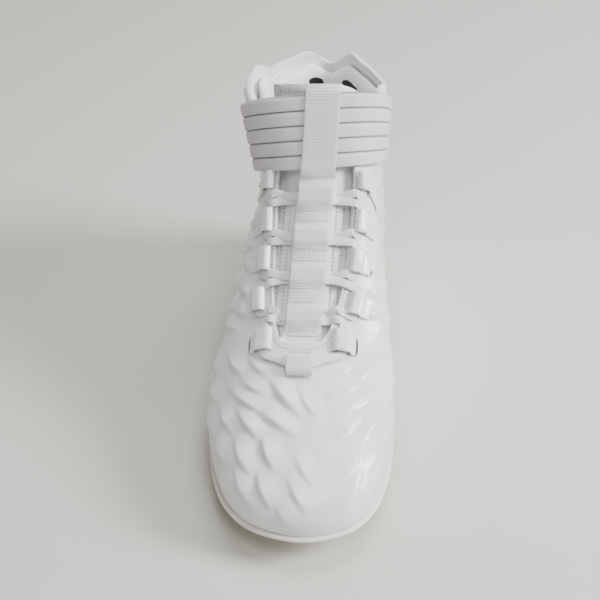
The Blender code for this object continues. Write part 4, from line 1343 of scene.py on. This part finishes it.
# Stitching
# Lock stitches in thick polyester thread, 1.5 mm long. They hold the webbing, the throat's edge, the vamp
# loop, the tongue's mesh and binding, and the heel tape.
STITCH = 0.0015
STITCH_PITCH = 0.0023
THREAD = 0.00050
BESIDE_CROSSING = 0.0058
EDGE_ROWS = (
    # how far up the upper, and between which places
    (0.972, (-3.0, 3.0)),
    (0.985, (3.2, 9.0)),
    (0.985, (RING - 3.2, RING - 9.0)),
)
MESH_ROWS = (-0.0137, 0.0137, -0.0175, 0.0175)
BINDING_ROWS = (-0.0016, 0.0022)
TAPE_ROW = 0.27


def stitch_along(made, line):
    """Sews a row of stitches along a line of points."""
    run = run_along(line)
    for start in np.arange(STITCH_PITCH / 2, run[-1] - STITCH, STITCH_PITCH):
        both = (start, start + STITCH)
        ends = [Vector([np.interp(at, run, line[:, axis]) for axis in range(3)]) for at in both]
        turn = (ends[1] - ends[0]).to_track_quat("X", "Z").to_matrix().to_4x4()
        size = Matrix.Diagonal((STITCH / 2, THREAD / 2, THREAD / 2, 1.0))
        place = Matrix.Translation((ends[0] + ends[1]) / 2 + Vector(ORIGIN))
        bmesh.ops.create_icosphere(made, subdivisions=1, radius=1.0, matrix=place @ turn @ size)


def webbing_row(y):
    """A line across the webbing's face at y."""
    share = (np.interp(tongue_row(y), ROW_STEPS, TONGUE_RUN) - first_run) / WEBBING_LENGTH
    across = np.linspace(0.06, 0.94, 12)
    return on_webbing(across, np.full(12, share), 0.00125)


sewing = bmesh.new()
for row in CROSSING_ROWS:
    for off in (-BESIDE_CROSSING, BESIDE_CROSSING):
        stitch_along(sewing, webbing_row(row * LAST_LENGTH + off))
stitch_along(sewing, webbing_row(WEBBING_START + 0.0022))
for up, ends in EDGE_ROWS:
    line = np.linspace(*ends, 60)
    ups = np.full(60, up)
    stitch_along(sewing, upper_at(line, ups) + facing(upper_at, line, ups) * 0.00012)
for y in (VAMP_LOOP_START + 0.0012, VAMP_LOOP_START - VAMP_LOOP_LENGTH - 0.0007):
    line = VAMP_MIDDLE + np.linspace(-0.47, 0.47, 10) * VAMP_LOOP_WIDTH
    stitch_along(sewing, over_upper(line, np.full(10, y), np.full(10, 0.0003)))
for beside in MESH_ROWS:
    rows = np.linspace(0.16, 0.60, 60) * (len(TONGUE) - 1)
    stitch_along(sewing, over_tongue(rows, np.full(60, beside), 0.0002))
for beside in BINDING_ROWS:
    rows = np.linspace(0.735, 0.985, 30) * (len(TONGUE) - 1)
    stitch_along(sewing, over_tongue(rows, -along_rows(TONGUE, rows)[:, 3] + beside, 0.0003))
for place in (HEEL - TAPE_ROW, HEEL + TAPE_ROW):
    ups = np.linspace(0.07, 0.98, 60)
    back = np.full(60, place)
    stitch_along(sewing, upper_at(back, ups) + facing(upper_at, back, ups) * 0.0006)

bonded_thread, tree, shader = start_finish(
    # Bonded polyester thread: smooth, with a soft gloss and a twist of about one turn a millimetre. The
    # thread is real; its dark grey colour is painted shade of the stitch holes.
    "bonded_thread", "88878D", 0.5, {"IOR": 1.55}
)
where = add_node(tree, "ShaderNodeTexCoord").outputs["Object"]
twist = add_node(tree, "ShaderNodeTexWave", {"Vector": where, "Scale": 520.0}, bands_direction="DIAGONAL")
turns = add_node(
    tree, "ShaderNodeBump", {"Height": twist.outputs["Fac"], "Strength": 0.4, "Distance": 0.0001}
)
tree.links.new(turns.outputs["Normal"], shader.inputs["Normal"])
fit_piece("stitching", sewing, bonded_thread, "webbing")
